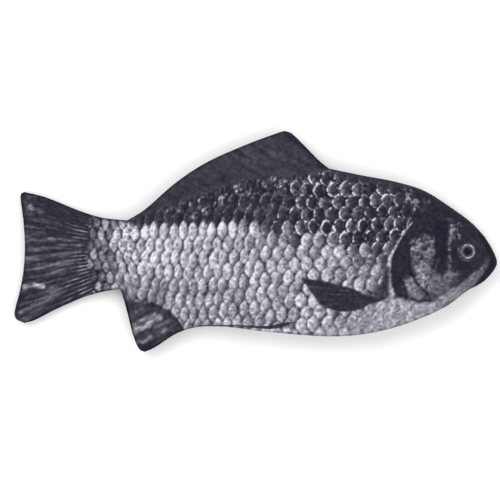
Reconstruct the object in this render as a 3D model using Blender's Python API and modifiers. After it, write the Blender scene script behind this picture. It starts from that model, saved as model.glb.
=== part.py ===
"""Carp-shaped zip pouch, lying on its back panel with the zip closed.

Two printed fabric panels are sewn together round a fish outline and lined.
The belly seam is left open for a curved coil zip, set back between the panels,
whose slider runs along an arc.  +X is towards the head, +Y towards the dorsal
fin, +Z up.  The functions work in millimetres, and the meshes are in metres.
"""

import math

import bmesh
import bpy
from mathutils import Vector

MM = 0.001

# ---------------------------------------------------------------- driving sizes
LENGTH = 220.0              # nose to tail
HEIGHT = 100.7              # dorsal fin tip to anal fin tip
THICKNESS = 24.0            # resting face to crown
SEAM_HEIGHT = 9.0           # seam plane above the resting face
TAIL_DROOP = 5.0            # how far the tail's seam hangs below the body's
DROOP_START = -30.0         # station where it starts to hang, along X
DROOP_REACH = 65.0          # and how much further back it hangs in full
PRESSED_DEPTH = 5.0         # how far the back panel would bulge below the table
CROWN_STATION = 38.0        # where the body is thickest, along X
CROWN_REACH = 146.0         # from there back to where the bulge fades out
NOSE_ROUNDNESS = 2.4        # power of the bulge's curve ahead of the crown
TAIL_FULLNESS = 0.8         # power of its fade behind the crown
SECTION_SQUARENESS = 2.2    # powers of the curve across the padded body
SECTION_FULLNESS = 0.58

PANEL_THICKNESS = 1.0
LINING_THICKNESS = 0.5
GAP = 0.3                   # between pieces that are sewn together
LINING_CLEARANCE = 0.8      # the loose fit of the lining inside the panels
LINING_INSET = 2.4          # of the lining's edge, beyond that clearance
LINING_REAR = -47.0         # the lining bag's tail end, along X
LINING_FRONT = 98.0         # and its head end

ZIP_RECESS = 6.0            # from the belly edge back to the zip
SLIDER_LENGTH = 9.5
SLIDER_WIDTH = 7.4
SLIDER_THICKNESS = 4.2
SLIDER_TRAVEL = 42.2        # degrees round the arc
SLIDER_PARKED = 29.2        # the closed end, in degrees from straight down
SLIDER_ROUNDING = 0.35      # of the slider's edges

SLOT_CLEARANCE = 0.6        # each side of the slider in the slot
SLOT_HALF_WIDTH = SLIDER_WIDTH / 2 + SLOT_CLEARANCE     # between the panels
SLOT_REAR_ROOM = 2.3        # degrees of open slot behind the zip, for the pull
SLOT_REAR_RAMP = 6.0        # degrees over which it closes, behind and ahead
SLOT_FRONT_RAMP = 4.0
MOUTH_HALF_WIDTH = SLOT_HALF_WIDTH + 0.5    # of the lining's mouth behind the zip

TAPE_THICKNESS = 0.6
TAPE_CLEARANCE = 0.7        # from a tape's sewn edge to the inside of its panel
COIL_RADIUS = 0.65
CHAIN_HALF_WIDTH = 2 * COIL_RADIUS + GAP * 1.5      # both coils, with room
STOP_LENGTH = 2.0
STOP_THICKNESS = 1.8
STOP_MARGIN = 1.8           # from the slider to the stops at its ends of travel
STOP_ROUNDING = 0.25

CHANNEL_HEIGHT = 2 * COIL_RADIUS + 0.7      # between the slider's plates
CHANNEL_WALL = 0.5          # of the flange beside the slider's front channels
SLIT_HEIGHT = TAPE_THICKNESS + 0.4          # between its flanges
BRIDGE_LENGTH = 6.0
BRIDGE_WIDTH = 1.6
BRIDGE_BAR = 0.9
BRIDGE_LEG = 1.0            # length of each of its two feet
BRIDGE_CLEARANCE = 1.7
BRIDGE_ROUNDING = 0.3
BRIDGE_SINK = 0.5           # how far its feet go into the slider's plate

PULL_LENGTH = 16.5
PULL_WIDTH = 5.0
PULL_THICKNESS = 1.0
PULL_EYE = 4.2              # clear length of the eye that holds the bridge
PULL_EYE_WALL = 1.1
PULL_SHOULDER = 1.6         # length of the taper from the eye to the tab
PULL_END_STEPS = 8
PULL_TILT = 2.0             # degrees, so that it lies in along the arc

PANEL_PITCH = 3.4
PANEL_ROWS = 14
LINING_COLUMNS = 36
LINING_ROWS = 12
TAPE_COLUMNS = 30

# ------------------------------------------------------------ the fish's outline
# Drawn at 220 by 100.7 mm and scaled to LENGTH and HEIGHT.  Each run is a smooth
# curve along X, and two runs meet at a corner.
DRAWN_LENGTH = 220.0
DRAWN_HEIGHT = 100.7

DORSAL_RUNS = (
    ((-105.4, 22.6), (-96.1, 20.3), (-80.0, 13.9), (-70.0, 10.9), (-58.5, 9.6)),
    ((-58.5, 9.6), (-50.6, 14.4), (-36.9, 26.3), (-23.2, 35.5), (-5.0, 43.8), (10.5, 49.6),
     (13.2, 50.35)),
    ((13.2, 50.35), (16.5, 49.2), (22.3, 43.6), (29.0, 36.8), (33.5, 33.2)),
    ((33.5, 33.2), (49.6, 29.9), (63.3, 27.3), (77.0, 23.0), (90.6, 14.4), (99.0, 8.0),
     (104.5, 2.0)),
)
BELLY_RUNS = (
    ((-105.4, -37.2), (-100.7, -35.9), (-91.6, -31.2), (-77.9, -25.3), (-68.8, -22.8),
     (-60.9, -21.7)),
    ((-60.9, -21.7), (-58.8, -29.0), (-56.9, -37.0), (-55.2, -44.4), (-53.0, -49.0),
     (-50.4, -50.35)),
    ((-50.4, -50.35), (-46.0, -48.4), (-36.0, -42.0), (-27.0, -39.1), (-14.0, -38.8), (4.1, -40.9),
     (31.4, -43.1), (49.6, -42.1), (67.9, -37.6), (86.1, -29.8), (96.3, -22.4), (101.0, -20.1),
     (104.5, -17.8)),
)
TAIL_EDGE = ((-105.4, -37.2), (-109.2, -35.4), (-110.0, -32.4), (-107.6, -22.5), (-105.8, -12.0),
             (-105.3, -1.0), (-106.0, 9.5), (-107.3, 19.6), (-107.0, 21.8), (-105.4, 22.6))
NOSE_EDGE = ((104.5, -17.8), (108.4, -13.4), (110.0, -9.6), (108.2, -4.2), (104.5, 2.0))

# The fins' roots, where the padded body fades into the flat fins.
DORSAL_ROOT = ((-58.5, 9.6), (-40.8, 17.5), (-11.6, 29.5), (13.2, 34.5), (33.5, 33.2))
ANAL_ROOT = ((-60.9, -21.7), (-47.6, -29.0), (-35.0, -36.0), (-25.0, -38.9))


def hermite(points, x):
    """Height at x of the smooth curve through points that run along X."""
    last = len(points) - 1
    slopes = []
    for index in range(last + 1):
        left = points[max(index - 1, 0)]
        right = points[min(index + 1, last)]
        slopes.append((right[1] - left[1]) / (right[0] - left[0]))
    step = 0
    while step < last - 1 and x > points[step + 1][0]:
        step += 1
    (x0, y0), (x1, y1) = points[step], points[step + 1]
    span = x1 - x0
    t = min(max((x - x0) / span, 0.0), 1.0)
    rise = (y0 * (2 * t ** 3 - 3 * t ** 2 + 1) + y1 * (3 * t ** 2 - 2 * t ** 3))
    start_bend = slopes[step] * (t ** 3 - 2 * t ** 2 + t)
    end_bend = slopes[step + 1] * (t ** 3 - t ** 2)
    return rise + span * (start_bend + end_bend)


def scaled(points):
    return [(x * LENGTH / DRAWN_LENGTH, y * HEIGHT / DRAWN_HEIGHT) for x, y in points]


def edge_height(runs, x):
    """Height at x of an edge made of runs that meet at corners."""
    for run in runs:
        points = scaled(run)
        if x <= points[-1][0]:
            return hermite(points, x)
    return scaled(runs[-1])[-1][1]


def along_path(path, t):
    """Point at the fraction t of the smooth path through the points."""
    points = scaled(path)
    marks = [0.0]
    for first, second in zip(points, points[1:]):
        marks.append(marks[-1] + math.dist(first, second))
    at = t * marks[-1]
    return (hermite([(m, p[0]) for m, p in zip(marks, points)], at),
            hermite([(m, p[1]) for m, p in zip(marks, points)], at))


def belly_edge(x):
    return edge_height(BELLY_RUNS, x)


def dorsal_edge(x):
    return edge_height(DORSAL_RUNS, x)


def padded_limits(x):
    """Lowest and highest y of the padded body at x, without the flat fins."""
    low = belly_edge(x)
    high = dorsal_edge(x)
    for root, is_dorsal in ((scaled(DORSAL_ROOT), True), (scaled(ANAL_ROOT), False)):
        if root[0][0] < x < root[-1][0]:
            if is_dorsal:
                high = min(high, hermite(root, x))
            else:
                low = max(low, hermite(root, x))
    return low, high


def smooth_step(t):
    t = min(max(t, 0.0), 1.0)
    return t * t * (3 - 2 * t)


# ------------------------------------------------------------------ the zip's arc
def circle_through(a, b, c):
    """Centre and radius of the circle through three points."""
    d = 2 * (a[0] * (b[1] - c[1]) + b[0] * (c[1] - a[1]) + c[0] * (a[1] - b[1]))
    squares = [p[0] ** 2 + p[1] ** 2 for p in (a, b, c)]
    ux = (squares[0] * (b[1] - c[1]) + squares[1] * (c[1] - a[1]) + squares[2] * (a[1] - b[1])) / d
    uy = (squares[0] * (c[0] - b[0]) + squares[1] * (a[0] - c[0]) + squares[2] * (b[0] - a[0])) / d
    return ux, uy, math.dist((ux, uy), a)


BELLY_STATIONS = (-4.0, 45.0, 94.0)
ARC_X, ARC_Y, BELLY_RADIUS = circle_through(
    *[(x * LENGTH / DRAWN_LENGTH, belly_edge(x * LENGTH / DRAWN_LENGTH)) for x in BELLY_STATIONS])
ARC_RADIUS = BELLY_RADIUS - ZIP_RECESS


def on_arc(angle, radius):
    """Point at an angle in degrees from straight down, towards the head."""
    turn = math.radians(angle)
    return ARC_X + radius * math.sin(turn), ARC_Y - radius * math.cos(turn)


SLIDER_REACH = SLIDER_LENGTH / 2 + STOP_MARGIN
ZIP_START = SLIDER_PARKED - SLIDER_TRAVEL - math.degrees(SLIDER_REACH / ARC_RADIUS)
ZIP_END = SLIDER_PARKED + math.degrees((SLIDER_REACH + STOP_LENGTH / 2) / ARC_RADIUS)


def arc_angle(x):
    return math.degrees(math.asin(min(max((x - ARC_X) / BELLY_RADIUS, -1.0), 1.0)))


def slot_share(x):
    """1 where the belly slot is fully open, 0 where the panels are sewn shut."""
    angle = arc_angle(x)
    opening = (angle - (ZIP_START - SLOT_REAR_ROOM - SLOT_REAR_RAMP)) / SLOT_REAR_RAMP
    closing = ((ZIP_END + SLOT_FRONT_RAMP) - angle) / SLOT_FRONT_RAMP
    return smooth_step(opening) * smooth_step(closing)


# ------------------------------------------------------------- the padded surface
def seam_plane(x):
    return SEAM_HEIGHT - TAIL_DROOP * smooth_step((DROOP_START - x) / DROOP_REACH)


def nose_reach(y):
    """How far along X the round nose reaches at the height y."""
    rising = [(point[1], point[0]) for point in scaled(NOSE_EDGE)]
    return hermite(rising, y)


def bulge(x, y):
    """Share of the full crown: round towards the nose, fading to the tail."""
    if x > CROWN_STATION:
        t = min((x - CROWN_STATION) / (nose_reach(y) - CROWN_STATION), 1.0)
        return math.sqrt(max(1.0 - t ** NOSE_ROUNDNESS, 0.0))
    t = min((CROWN_STATION - x) / CROWN_REACH, 1.0)
    return (1.0 - smooth_step(t)) ** TAIL_FULLNESS


def dome(across):
    """Height share of the padded section, 1 at the middle and 0 at its edges."""
    return max(1.0 - abs(across) ** SECTION_SQUARENESS, 0.0) ** SECTION_FULLNESS


def across_body(x, y, inset_low, inset_high):
    low, high = padded_limits(x)
    middle = (low + high) / 2
    if y < middle:
        return (y - middle) / max(middle - low - inset_low, 1.0)
    return (y - middle) / max(high - middle - inset_high, 1.0)


def split_from_seam(x, across, half_width):
    """How far a skin's edge stands off the seam plane."""
    share = slot_share(x) * smooth_step(-across)
    return GAP / 2 + (half_width - GAP / 2) * share


def front_skin(x, y, depth, rim, half_width, inset_low, inset_high):
    """Height of a front skin that lies depth under the crown."""
    across = across_body(x, y, inset_low, inset_high)
    base = seam_plane(x) + split_from_seam(x, across, half_width) + rim
    crown = seam_plane(x) + (THICKNESS - SEAM_HEIGHT - depth) * bulge(x, y)
    return base + max(crown - base, 0.0) * dome(across)


def back_skin(x, y, depth, rim, half_width, inset_low, inset_high):
    """Height of a back skin that lies depth inside the pressed-flat face."""
    across = across_body(x, y, inset_low, inset_high)
    base = seam_plane(x) - split_from_seam(x, across, half_width) - rim
    lowest = seam_plane(x) - (SEAM_HEIGHT + PRESSED_DEPTH - depth) * bulge(x, y)
    return max(base - max(base - lowest, 0.0) * dome(across), depth)


def panel_skin(x, y, is_front, is_outer):
    depth = 0.0 if is_outer else PANEL_THICKNESS
    rim = PANEL_THICKNESS if is_outer else 0.0
    inset = 0.0 if is_outer else PANEL_THICKNESS
    skin = front_skin if is_front else back_skin
    return skin(x, y, depth, rim, SLOT_HALF_WIDTH, inset, inset)


def lining_insets(x):
    """Insets of the lining from the belly edge and from the dorsal side."""
    plain = PANEL_THICKNESS + LINING_CLEARANCE + LINING_INSET
    low, _ = padded_limits(x)
    slope = (padded_limits(x + 1.0)[0] - padded_limits(x - 1.0)[0]) / 2
    square_on = plain * math.hypot(1.0, slope)
    radius = ARC_RADIUS - TAPE_THICKNESS / 2 - 2 * GAP
    behind_tape = ARC_Y - math.sqrt(max(radius ** 2 - (x - ARC_X) ** 2, 1.0)) - low
    wide_slot = slot_share(x)
    return square_on + max(behind_tape - square_on, 0.0) * wide_slot, plain


def lining_skin(x, y, is_front, is_outer):
    depth = PANEL_THICKNESS + LINING_CLEARANCE
    rim = LINING_THICKNESS
    inset_low, inset_high = lining_insets(x)
    if not is_outer:
        depth += LINING_THICKNESS
        rim = 0.0
        inset_low += LINING_THICKNESS
        inset_high += LINING_THICKNESS
    skin = front_skin if is_front else back_skin
    return skin(x, y, depth, rim, MOUTH_HALF_WIDTH, inset_low, inset_high)


# ------------------------------------------------------------------ mesh helpers
def clear_scene():
    for thing in list(bpy.data.objects):
        bpy.data.objects.remove(thing, do_unlink=True)


def new_collection(name):
    group = bpy.data.collections.new(name)
    bpy.context.scene.collection.children.link(group)
    return group


def material(name, color, roughness, metallic=0.0):
    paint = bpy.data.materials.new(name)
    paint.use_nodes = True
    shader = paint.node_tree.nodes["Principled BSDF"]
    shader.inputs["Base Color"].default_value = (*color, 1.0)
    shader.inputs["Roughness"].default_value = roughness
    shader.inputs["Metallic"].default_value = metallic
    return paint


def add_mesh(name, shape, group, paint=None):
    """Object from a bmesh in millimetres, with its mesh stored in metres."""
    bmesh.ops.scale(shape, vec=(MM, MM, MM), verts=shape.verts)
    mesh = bpy.data.meshes.new(name)
    shape.to_mesh(mesh)
    shape.free()
    thing = bpy.data.objects.new(name, mesh)
    group.objects.link(thing)
    if paint:
        mesh.materials.append(paint)
    return thing


def add_slab(name, columns, rows, place, group, paint):
    """Closed slab whose two skins are put at place(s, v, is_outer)."""
    shape = bmesh.new()
    bmesh.ops.create_grid(shape, x_segments=columns, y_segments=rows, size=1.0)
    grown = bmesh.ops.extrude_face_region(shape, geom=shape.faces[:])
    outer = {item for item in grown["geom"] if isinstance(item, bmesh.types.BMVert)}
    for vert in shape.verts:
        s = (vert.co.x + 1) / 2
        v = (vert.co.y + 1) / 2
        vert.co = Vector(place(s, v, vert in outer))
    bmesh.ops.recalc_face_normals(shape, faces=shape.faces)
    return add_mesh(name, shape, group, paint)


def add_box(name, low, high, group, paint=None):
    """Box between two corners in millimetres."""
    shape = bmesh.new()
    bmesh.ops.create_cube(shape, size=1.0)
    for vert in shape.verts:
        vert.co = Vector([a + (c + 0.5) * (b - a) for a, b, c in zip(low, high, vert.co)])
    return add_mesh(name, shape, group, paint)


def add_plate(name, outlines, middle, thickness, group, paint=None):
    """Flat plate in the XZ plane: the first outline is its edge, others are holes."""
    curve = bpy.data.curves.new(name, "CURVE")
    curve.dimensions = "2D"
    curve.fill_mode = "BOTH"
    curve.extrude = thickness / 2 * MM
    for outline in outlines:
        spline = curve.splines.new("POLY")
        spline.points.add(len(outline) - 1)
        for point, (x, z) in zip(spline.points, outline):
            point.co = (x * MM, z * MM, 0.0, 1.0)
        spline.use_cyclic_u = True
    drawn = bpy.data.objects.new(name + "_drawn", curve)
    group.objects.link(drawn)
    bpy.context.view_layer.update()
    flat = drawn.evaluated_get(bpy.context.evaluated_depsgraph_get())
    mesh = bpy.data.meshes.new_from_object(flat)
    bpy.data.objects.remove(drawn, do_unlink=True)
    shape = bmesh.new()
    shape.from_mesh(mesh)
    bmesh.ops.remove_doubles(shape, verts=shape.verts, dist=1e-6)
    for vert in shape.verts:
        vert.co = Vector((vert.co.x, middle * MM - vert.co.z, vert.co.y))
    bmesh.ops.recalc_face_normals(shape, faces=shape.faces)
    shape.to_mesh(mesh)
    shape.free()
    mesh.name = name
    thing = bpy.data.objects.new(name, mesh)
    group.objects.link(thing)
    mesh.materials.clear()
    if paint:
        mesh.materials.append(paint)
    return thing


def add_boolean(thing, cutter, operation):
    change = thing.modifiers.new(cutter.name, "BOOLEAN")
    change.operation = operation
    change.object = cutter


def round_edges(thing, width):
    soft = thing.modifiers.new("round_edges", "BEVEL")
    soft.width = width * MM
    soft.segments = 2
    soft.limit_method = "ANGLE"


# ------------------------------------------------------------------- the pieces
def panel_columns():
    """Stations of the panels' columns, with one at each corner of the outline."""
    ends = [run[end] for run in DORSAL_RUNS + BELLY_RUNS for end in (0, -1)]
    corners = sorted({x for x, _ in scaled(ends)})
    stations = [corners[0]]
    for first, second in zip(corners, corners[1:]):
        steps = max(round((second - first) / PANEL_PITCH), 1)
        stations += [first + (second - first) * step / steps for step in range(1, steps + 1)]
    return stations


STATIONS = panel_columns()


def column_station(s):
    return STATIONS[round(s * (len(STATIONS) - 1))]


def panel_point(s, v, is_front, is_outer):
    """Point of a panel at s from tail to head and v from belly to dorsal edge."""
    x = column_station(s)
    row = (1 - math.cos(math.pi * v)) / 2
    low = (x, belly_edge(x))
    high = (x, dorsal_edge(x))
    place = [a + (b - a) * row for a, b in zip(low, high)]
    for path, weight in ((TAIL_EDGE, (1 - s) ** 5), (NOSE_EDGE, s ** 12)):
        ends = scaled(path)[0], scaled(path)[-1]
        bowed = along_path(path, row)
        for k in (0, 1):
            straight = ends[0][k] + (ends[1][k] - ends[0][k]) * row
            place[k] += (bowed[k] - straight) * weight
    return (*place, panel_skin(*place, is_front, is_outer))


def add_panels(group):
    back = material("printed_fabric_back", (0.20, 0.22, 0.26), 0.75)
    front = material("printed_fabric_front", (0.33, 0.36, 0.42), 0.75)
    for name, is_front, paint in (("front_panel", True, front), ("back_panel", False, back)):
        add_slab(name, len(STATIONS) - 1, PANEL_ROWS,
                 lambda s, v, is_outer, side=is_front: panel_point(s, v, side, is_outer),
                 group, paint)


def lining_point(s, v, is_front, is_outer):
    stretch = LENGTH / DRAWN_LENGTH
    x = (LINING_REAR + (LINING_FRONT - LINING_REAR) * s) * stretch
    low, high = padded_limits(x)
    inset_low, inset_high = lining_insets(x)
    low += inset_low
    high -= inset_high
    row = (1 - math.cos(math.pi * v)) / 2
    y = low + (high - low) * row
    return x, y, lining_skin(x, y, is_front, is_outer)


def add_linings(group):
    front = material("lining_cloth_front", (0.05, 0.05, 0.06), 0.85)
    back = material("lining_cloth_back", (0.05, 0.05, 0.06), 0.85)
    for name, is_front, paint in (("front_lining", True, front), ("back_lining", False, back)):
        add_slab(name, LINING_COLUMNS, LINING_ROWS,
                 lambda s, v, is_outer, side=is_front: lining_point(s, v, side, is_outer),
                 group, paint)


def tape_limits(angle, is_front):
    """Heights of a tape's coil edge and of its sewn edge at an angle."""
    sign = 1 if is_front else -1
    inner_edge = SEAM_HEIGHT + sign * CHAIN_HALF_WIDTH
    reaches = []
    for radius in (ARC_RADIUS - TAPE_THICKNESS / 2, ARC_RADIUS + TAPE_THICKNESS / 2):
        x, y = on_arc(angle, radius)
        reaches.append(panel_skin(x, y, is_front, False) - sign * TAPE_CLEARANCE)
    return inner_edge, min(reaches) if is_front else max(reaches)


def tape_point(s, v, is_front, is_outer):
    overhang = math.degrees((STOP_LENGTH + 2 * GAP) / ARC_RADIUS)
    start = ZIP_START - overhang
    end = ZIP_END + overhang
    angle = start + (end - start) * s
    coil_edge, sewn_edge = tape_limits(angle, is_front)
    half = TAPE_THICKNESS / 2
    x, y = on_arc(angle, ARC_RADIUS + (half if is_outer else -half))
    return x, y, coil_edge + (sewn_edge - coil_edge) * v


def add_tapes(group):
    for name, is_front in (("front_zip_tape", True), ("back_zip_tape", False)):
        paint = material(name + "_weave", (0.03, 0.03, 0.035), 0.9)
        add_slab(name, TAPE_COLUMNS, 2,
                 lambda s, v, is_outer, side=is_front: tape_point(s, v, side, is_outer),
                 group, paint)


FRONT_COIL_END = 0.06       # of the slider's length ahead of its middle


def coil_height(is_front):
    offset = COIL_RADIUS + GAP / 2
    return SEAM_HEIGHT + (offset if is_front else -offset)


def add_coils(group):
    """The two meshed coils, each as a bar of its outer size."""
    front_end = SLIDER_PARKED + math.degrees(SLIDER_LENGTH * FRONT_COIL_END / ARC_RADIUS)
    for name, is_front in (("front_zip_coil", True), ("back_zip_coil", False)):
        curve = bpy.data.curves.new(name, "CURVE")
        curve.dimensions = "3D"
        curve.bevel_depth = COIL_RADIUS * MM
        curve.bevel_resolution = 2
        curve.use_fill_caps = True
        spline = curve.splines.new("POLY")
        spline.points.add(TAPE_COLUMNS)
        for index, point in enumerate(spline.points):
            angle = ZIP_START + (front_end - ZIP_START) * index / TAPE_COLUMNS
            x, y = on_arc(angle, ARC_RADIUS)
            point.co = (x * MM, y * MM, coil_height(is_front) * MM, 1.0)
        thing = bpy.data.objects.new(name, curve)
        curve.materials.append(material(name + "_nylon", (0.02, 0.02, 0.022), 0.45))
        group.objects.link(thing)


def arc_frame(name, angle, group):
    """Empty on the arc's centre, turned so that its -Y points along the angle."""
    frame = bpy.data.objects.new(name, None)
    frame.location = (ARC_X * MM, ARC_Y * MM, SEAM_HEIGHT * MM)
    frame.rotation_euler = (0.0, 0.0, math.radians(angle))
    group.objects.link(frame)
    return frame


def add_stops(group):
    """The clips that end the zip: one on each tape at the head, one across both."""
    steel = material("stop_metal", (0.55, 0.55, 0.57), 0.35, 1.0)
    half_step = math.degrees(STOP_LENGTH / 2 / ARC_RADIUS)
    outer = 2 * COIL_RADIUS + GAP / 2
    low_y = -ARC_RADIUS - STOP_THICKNESS / 2
    high_y = -ARC_RADIUS + STOP_THICKNESS / 2
    half = STOP_LENGTH / 2
    head = arc_frame("head_stop_frame", ZIP_END, group)
    tail = arc_frame("tail_stop_frame", ZIP_START - half_step - math.degrees(GAP / ARC_RADIUS), group)
    spans = (("front_top_stop", head, GAP, outer), ("back_top_stop", head, -outer, -GAP),
             ("bottom_stop", tail, -outer, outer))
    for name, frame, low_z, high_z in spans:
        stop = add_box(name, (-half, low_y, low_z), (half, high_y, high_z), group, steel.copy())
        stop.parent = frame
        round_edges(stop, STOP_ROUNDING)


def slider_edge():
    """Half outline of the slider's plates, wide at the front and mirrored."""
    half_length = SLIDER_LENGTH / 2
    half_width = SLIDER_WIDTH / 2
    upper = [(half_length, half_width * 0.78), (half_length * 0.68, half_width),
             (-half_length * 0.2, half_width * 0.93), (-half_length * 0.85, half_width * 0.72),
             (-half_length, half_width * 0.5)]
    return upper + [(x, -z) for x, z in reversed(upper)]


def channel_edge():
    """Outline of the room inside: one channel at the rear, two at the front."""
    half_length = SLIDER_LENGTH / 2
    beyond = half_length + 1.0
    rear = CHAIN_HALF_WIDTH
    front = SLIDER_WIDTH / 2 - CHANNEL_WALL
    post = front - rear
    upper = [(-beyond, rear), (-half_length * 0.1, rear), (half_length * 0.42, front * 0.97), (beyond, front),
             (beyond, post), (half_length * 0.25, 0.0)]
    return upper + [(x, -z) for x, z in reversed(upper[:-1])]


def add_slider(group, cutters):
    frame = arc_frame("slider_axis", SLIDER_PARKED, group)
    metal = material("slider_metal", (0.10, 0.10, 0.11), 0.35, 1.0)
    half_thickness = SLIDER_THICKNESS / 2
    body = add_plate("zip_slider", [slider_edge()], -ARC_RADIUS, SLIDER_THICKNESS, group, metal)
    round_edges(body, SLIDER_ROUNDING)
    channel = add_plate("slider_channel_cut", [channel_edge()], -ARC_RADIUS, CHANNEL_HEIGHT, cutters)
    add_boolean(body, channel, "DIFFERENCE")
    slit_start = 2 * COIL_RADIUS + GAP
    for side, sign in (("front", 1), ("back", -1)):
        depths = sorted((sign * slit_start, sign * SLIDER_WIDTH))
        slit = add_box("slider_slit_cut_" + side,
                       (-SLIDER_LENGTH, -ARC_RADIUS - SLIT_HEIGHT / 2, depths[0]),
                       (SLIDER_LENGTH, -ARC_RADIUS + SLIT_HEIGHT / 2, depths[1]), cutters)
        add_boolean(body, slit, "DIFFERENCE")
        slit.parent = frame
    plate_top = -ARC_RADIUS - half_thickness
    bridge_top = plate_top - BRIDGE_CLEARANCE - BRIDGE_BAR
    bridge = add_box("slider_bridge", (-BRIDGE_LENGTH / 2, bridge_top, -BRIDGE_WIDTH / 2),
                     (BRIDGE_LENGTH / 2, plate_top + BRIDGE_SINK, BRIDGE_WIDTH / 2), cutters)
    round_edges(bridge, BRIDGE_ROUNDING)
    add_boolean(body, bridge, "UNION")
    window_half = BRIDGE_LENGTH / 2 - BRIDGE_LEG
    window = add_box("slider_window_cut", (-window_half, plate_top - BRIDGE_CLEARANCE, -SLIDER_WIDTH),
                     (window_half, plate_top, SLIDER_WIDTH), cutters)
    add_boolean(body, window, "DIFFERENCE")
    for thing in (body, channel, bridge, window):
        thing.parent = frame
    return frame, plate_top - BRIDGE_CLEARANCE / 2


def pull_edge():
    """Outline of the pull: a narrow eye, a shoulder and a round-ended tab."""
    eye_half = BRIDGE_WIDTH / 2 + GAP + PULL_EYE_WALL
    bar = PULL_THICKNESS / 2
    half_width = PULL_WIDTH / 2
    shoulder = -(bar + PULL_EYE)
    edge = [(bar, eye_half), (shoulder, eye_half), (shoulder - PULL_SHOULDER, half_width)]
    centre = -(PULL_LENGTH - half_width)
    for index in range(PULL_END_STEPS + 1):
        turn = math.radians(90 + 180 * index / PULL_END_STEPS)
        edge.append((centre + half_width * math.cos(turn), half_width * math.sin(turn)))
    edge += [(shoulder - PULL_SHOULDER, -half_width), (shoulder, -eye_half), (bar, -eye_half)]
    return edge


def pull_eye():
    inner_half = BRIDGE_WIDTH / 2 + GAP
    bar = PULL_THICKNESS / 2
    far = bar + PULL_EYE
    return [(-bar, inner_half), (-bar, -inner_half), (-far, -inner_half), (-far, inner_half)]


def add_pull(frame, pivot, group):
    metal = material("pull_metal", (0.10, 0.10, 0.11), 0.35, 1.0)
    pull = add_plate("zip_pull", [pull_edge(), pull_eye()], 0.0, PULL_THICKNESS, group, metal)
    pull.parent = frame
    pull.location = (0.0, pivot * MM, 0.0)
    pull.rotation_euler = (0.0, 0.0, math.radians(-PULL_TILT))


def main():
    clear_scene()
    group = new_collection("carp_zip_pouch")
    cutters = new_collection("cutters")
    add_panels(group)
    add_linings(group)
    add_tapes(group)
    add_coils(group)
    add_stops(group)
    frame, pivot = add_slider(group, cutters)
    add_pull(frame, pivot, group)
    for cutter in cutters.objects:
        cutter.hide_render = True
        cutter.display_type = "WIRE"


main()
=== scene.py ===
"""Looks of the carp-shaped zip pouch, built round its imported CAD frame.

The pouch lies on its back panel with the zip closed.  Its two panels carry the
print of a carp, which is worked out here from formulas.  +X is towards the
head, +Y towards the dorsal fin and +Z up.  Formulas work in millimetres, and
meshes are in metres.
"""

import math

import bmesh
import bpy
import numpy as np
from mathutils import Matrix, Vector


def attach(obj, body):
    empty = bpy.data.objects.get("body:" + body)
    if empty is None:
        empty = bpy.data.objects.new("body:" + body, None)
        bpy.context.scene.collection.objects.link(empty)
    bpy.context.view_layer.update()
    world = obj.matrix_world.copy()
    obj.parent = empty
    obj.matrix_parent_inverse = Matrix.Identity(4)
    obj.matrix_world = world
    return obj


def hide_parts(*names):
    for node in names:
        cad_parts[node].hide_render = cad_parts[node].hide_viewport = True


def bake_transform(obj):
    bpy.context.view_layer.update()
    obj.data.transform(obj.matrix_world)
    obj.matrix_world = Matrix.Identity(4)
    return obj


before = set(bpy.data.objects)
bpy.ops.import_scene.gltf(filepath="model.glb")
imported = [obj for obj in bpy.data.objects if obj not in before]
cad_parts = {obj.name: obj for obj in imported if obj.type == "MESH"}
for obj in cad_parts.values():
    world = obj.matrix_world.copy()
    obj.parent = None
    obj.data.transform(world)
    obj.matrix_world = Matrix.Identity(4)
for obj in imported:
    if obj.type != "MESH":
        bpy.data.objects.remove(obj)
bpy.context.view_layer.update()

MM = 0.001

# ---------------------------------------------------- sizes, as in the CAD's source
THICKNESS = 24.0
SEAM_HEIGHT = 9.0
TAIL_DROOP = 5.0
DROOP_START = -30.0
DROOP_REACH = 65.0
PRESSED_DEPTH = 5.0
CROWN_STATION = 38.0
CROWN_REACH = 146.0
NOSE_ROUNDNESS = 2.4
TAIL_FULLNESS = 0.8
SECTION_SQUARENESS = 2.2
SECTION_FULLNESS = 0.58

PANEL_THICKNESS = 1.0
LINING_THICKNESS = 0.5
GAP = 0.3
LINING_CLEARANCE = 0.8
LINING_INSET = 2.4
LINING_REAR = -47.0
LINING_FRONT = 98.0

ZIP_RECESS = 6.0
SLOT_HALF_WIDTH = 4.3
MOUTH_HALF_WIDTH = 4.8
SLOT_REAR_ROOM = 2.3
SLOT_REAR_RAMP = 6.0
SLOT_FRONT_RAMP = 4.0
TAPE_THICKNESS = 0.6
TAPE_CLEARANCE = 0.7
COIL_RADIUS = 0.65
CHAIN_HALF_WIDTH = 2 * COIL_RADIUS + GAP * 1.5
STOP_LENGTH = 2.0
STOP_MARGIN = 1.8
SLIDER_LENGTH = 9.5
SLIDER_TRAVEL = 42.2
SLIDER_PARKED = 29.2
ARC_X = 27.2395             # centre and radii of the arc that the zip follows
ARC_Y = 77.8140
BELLY_RADIUS = 121.785
ARC_RADIUS = BELLY_RADIUS - ZIP_RECESS

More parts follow.
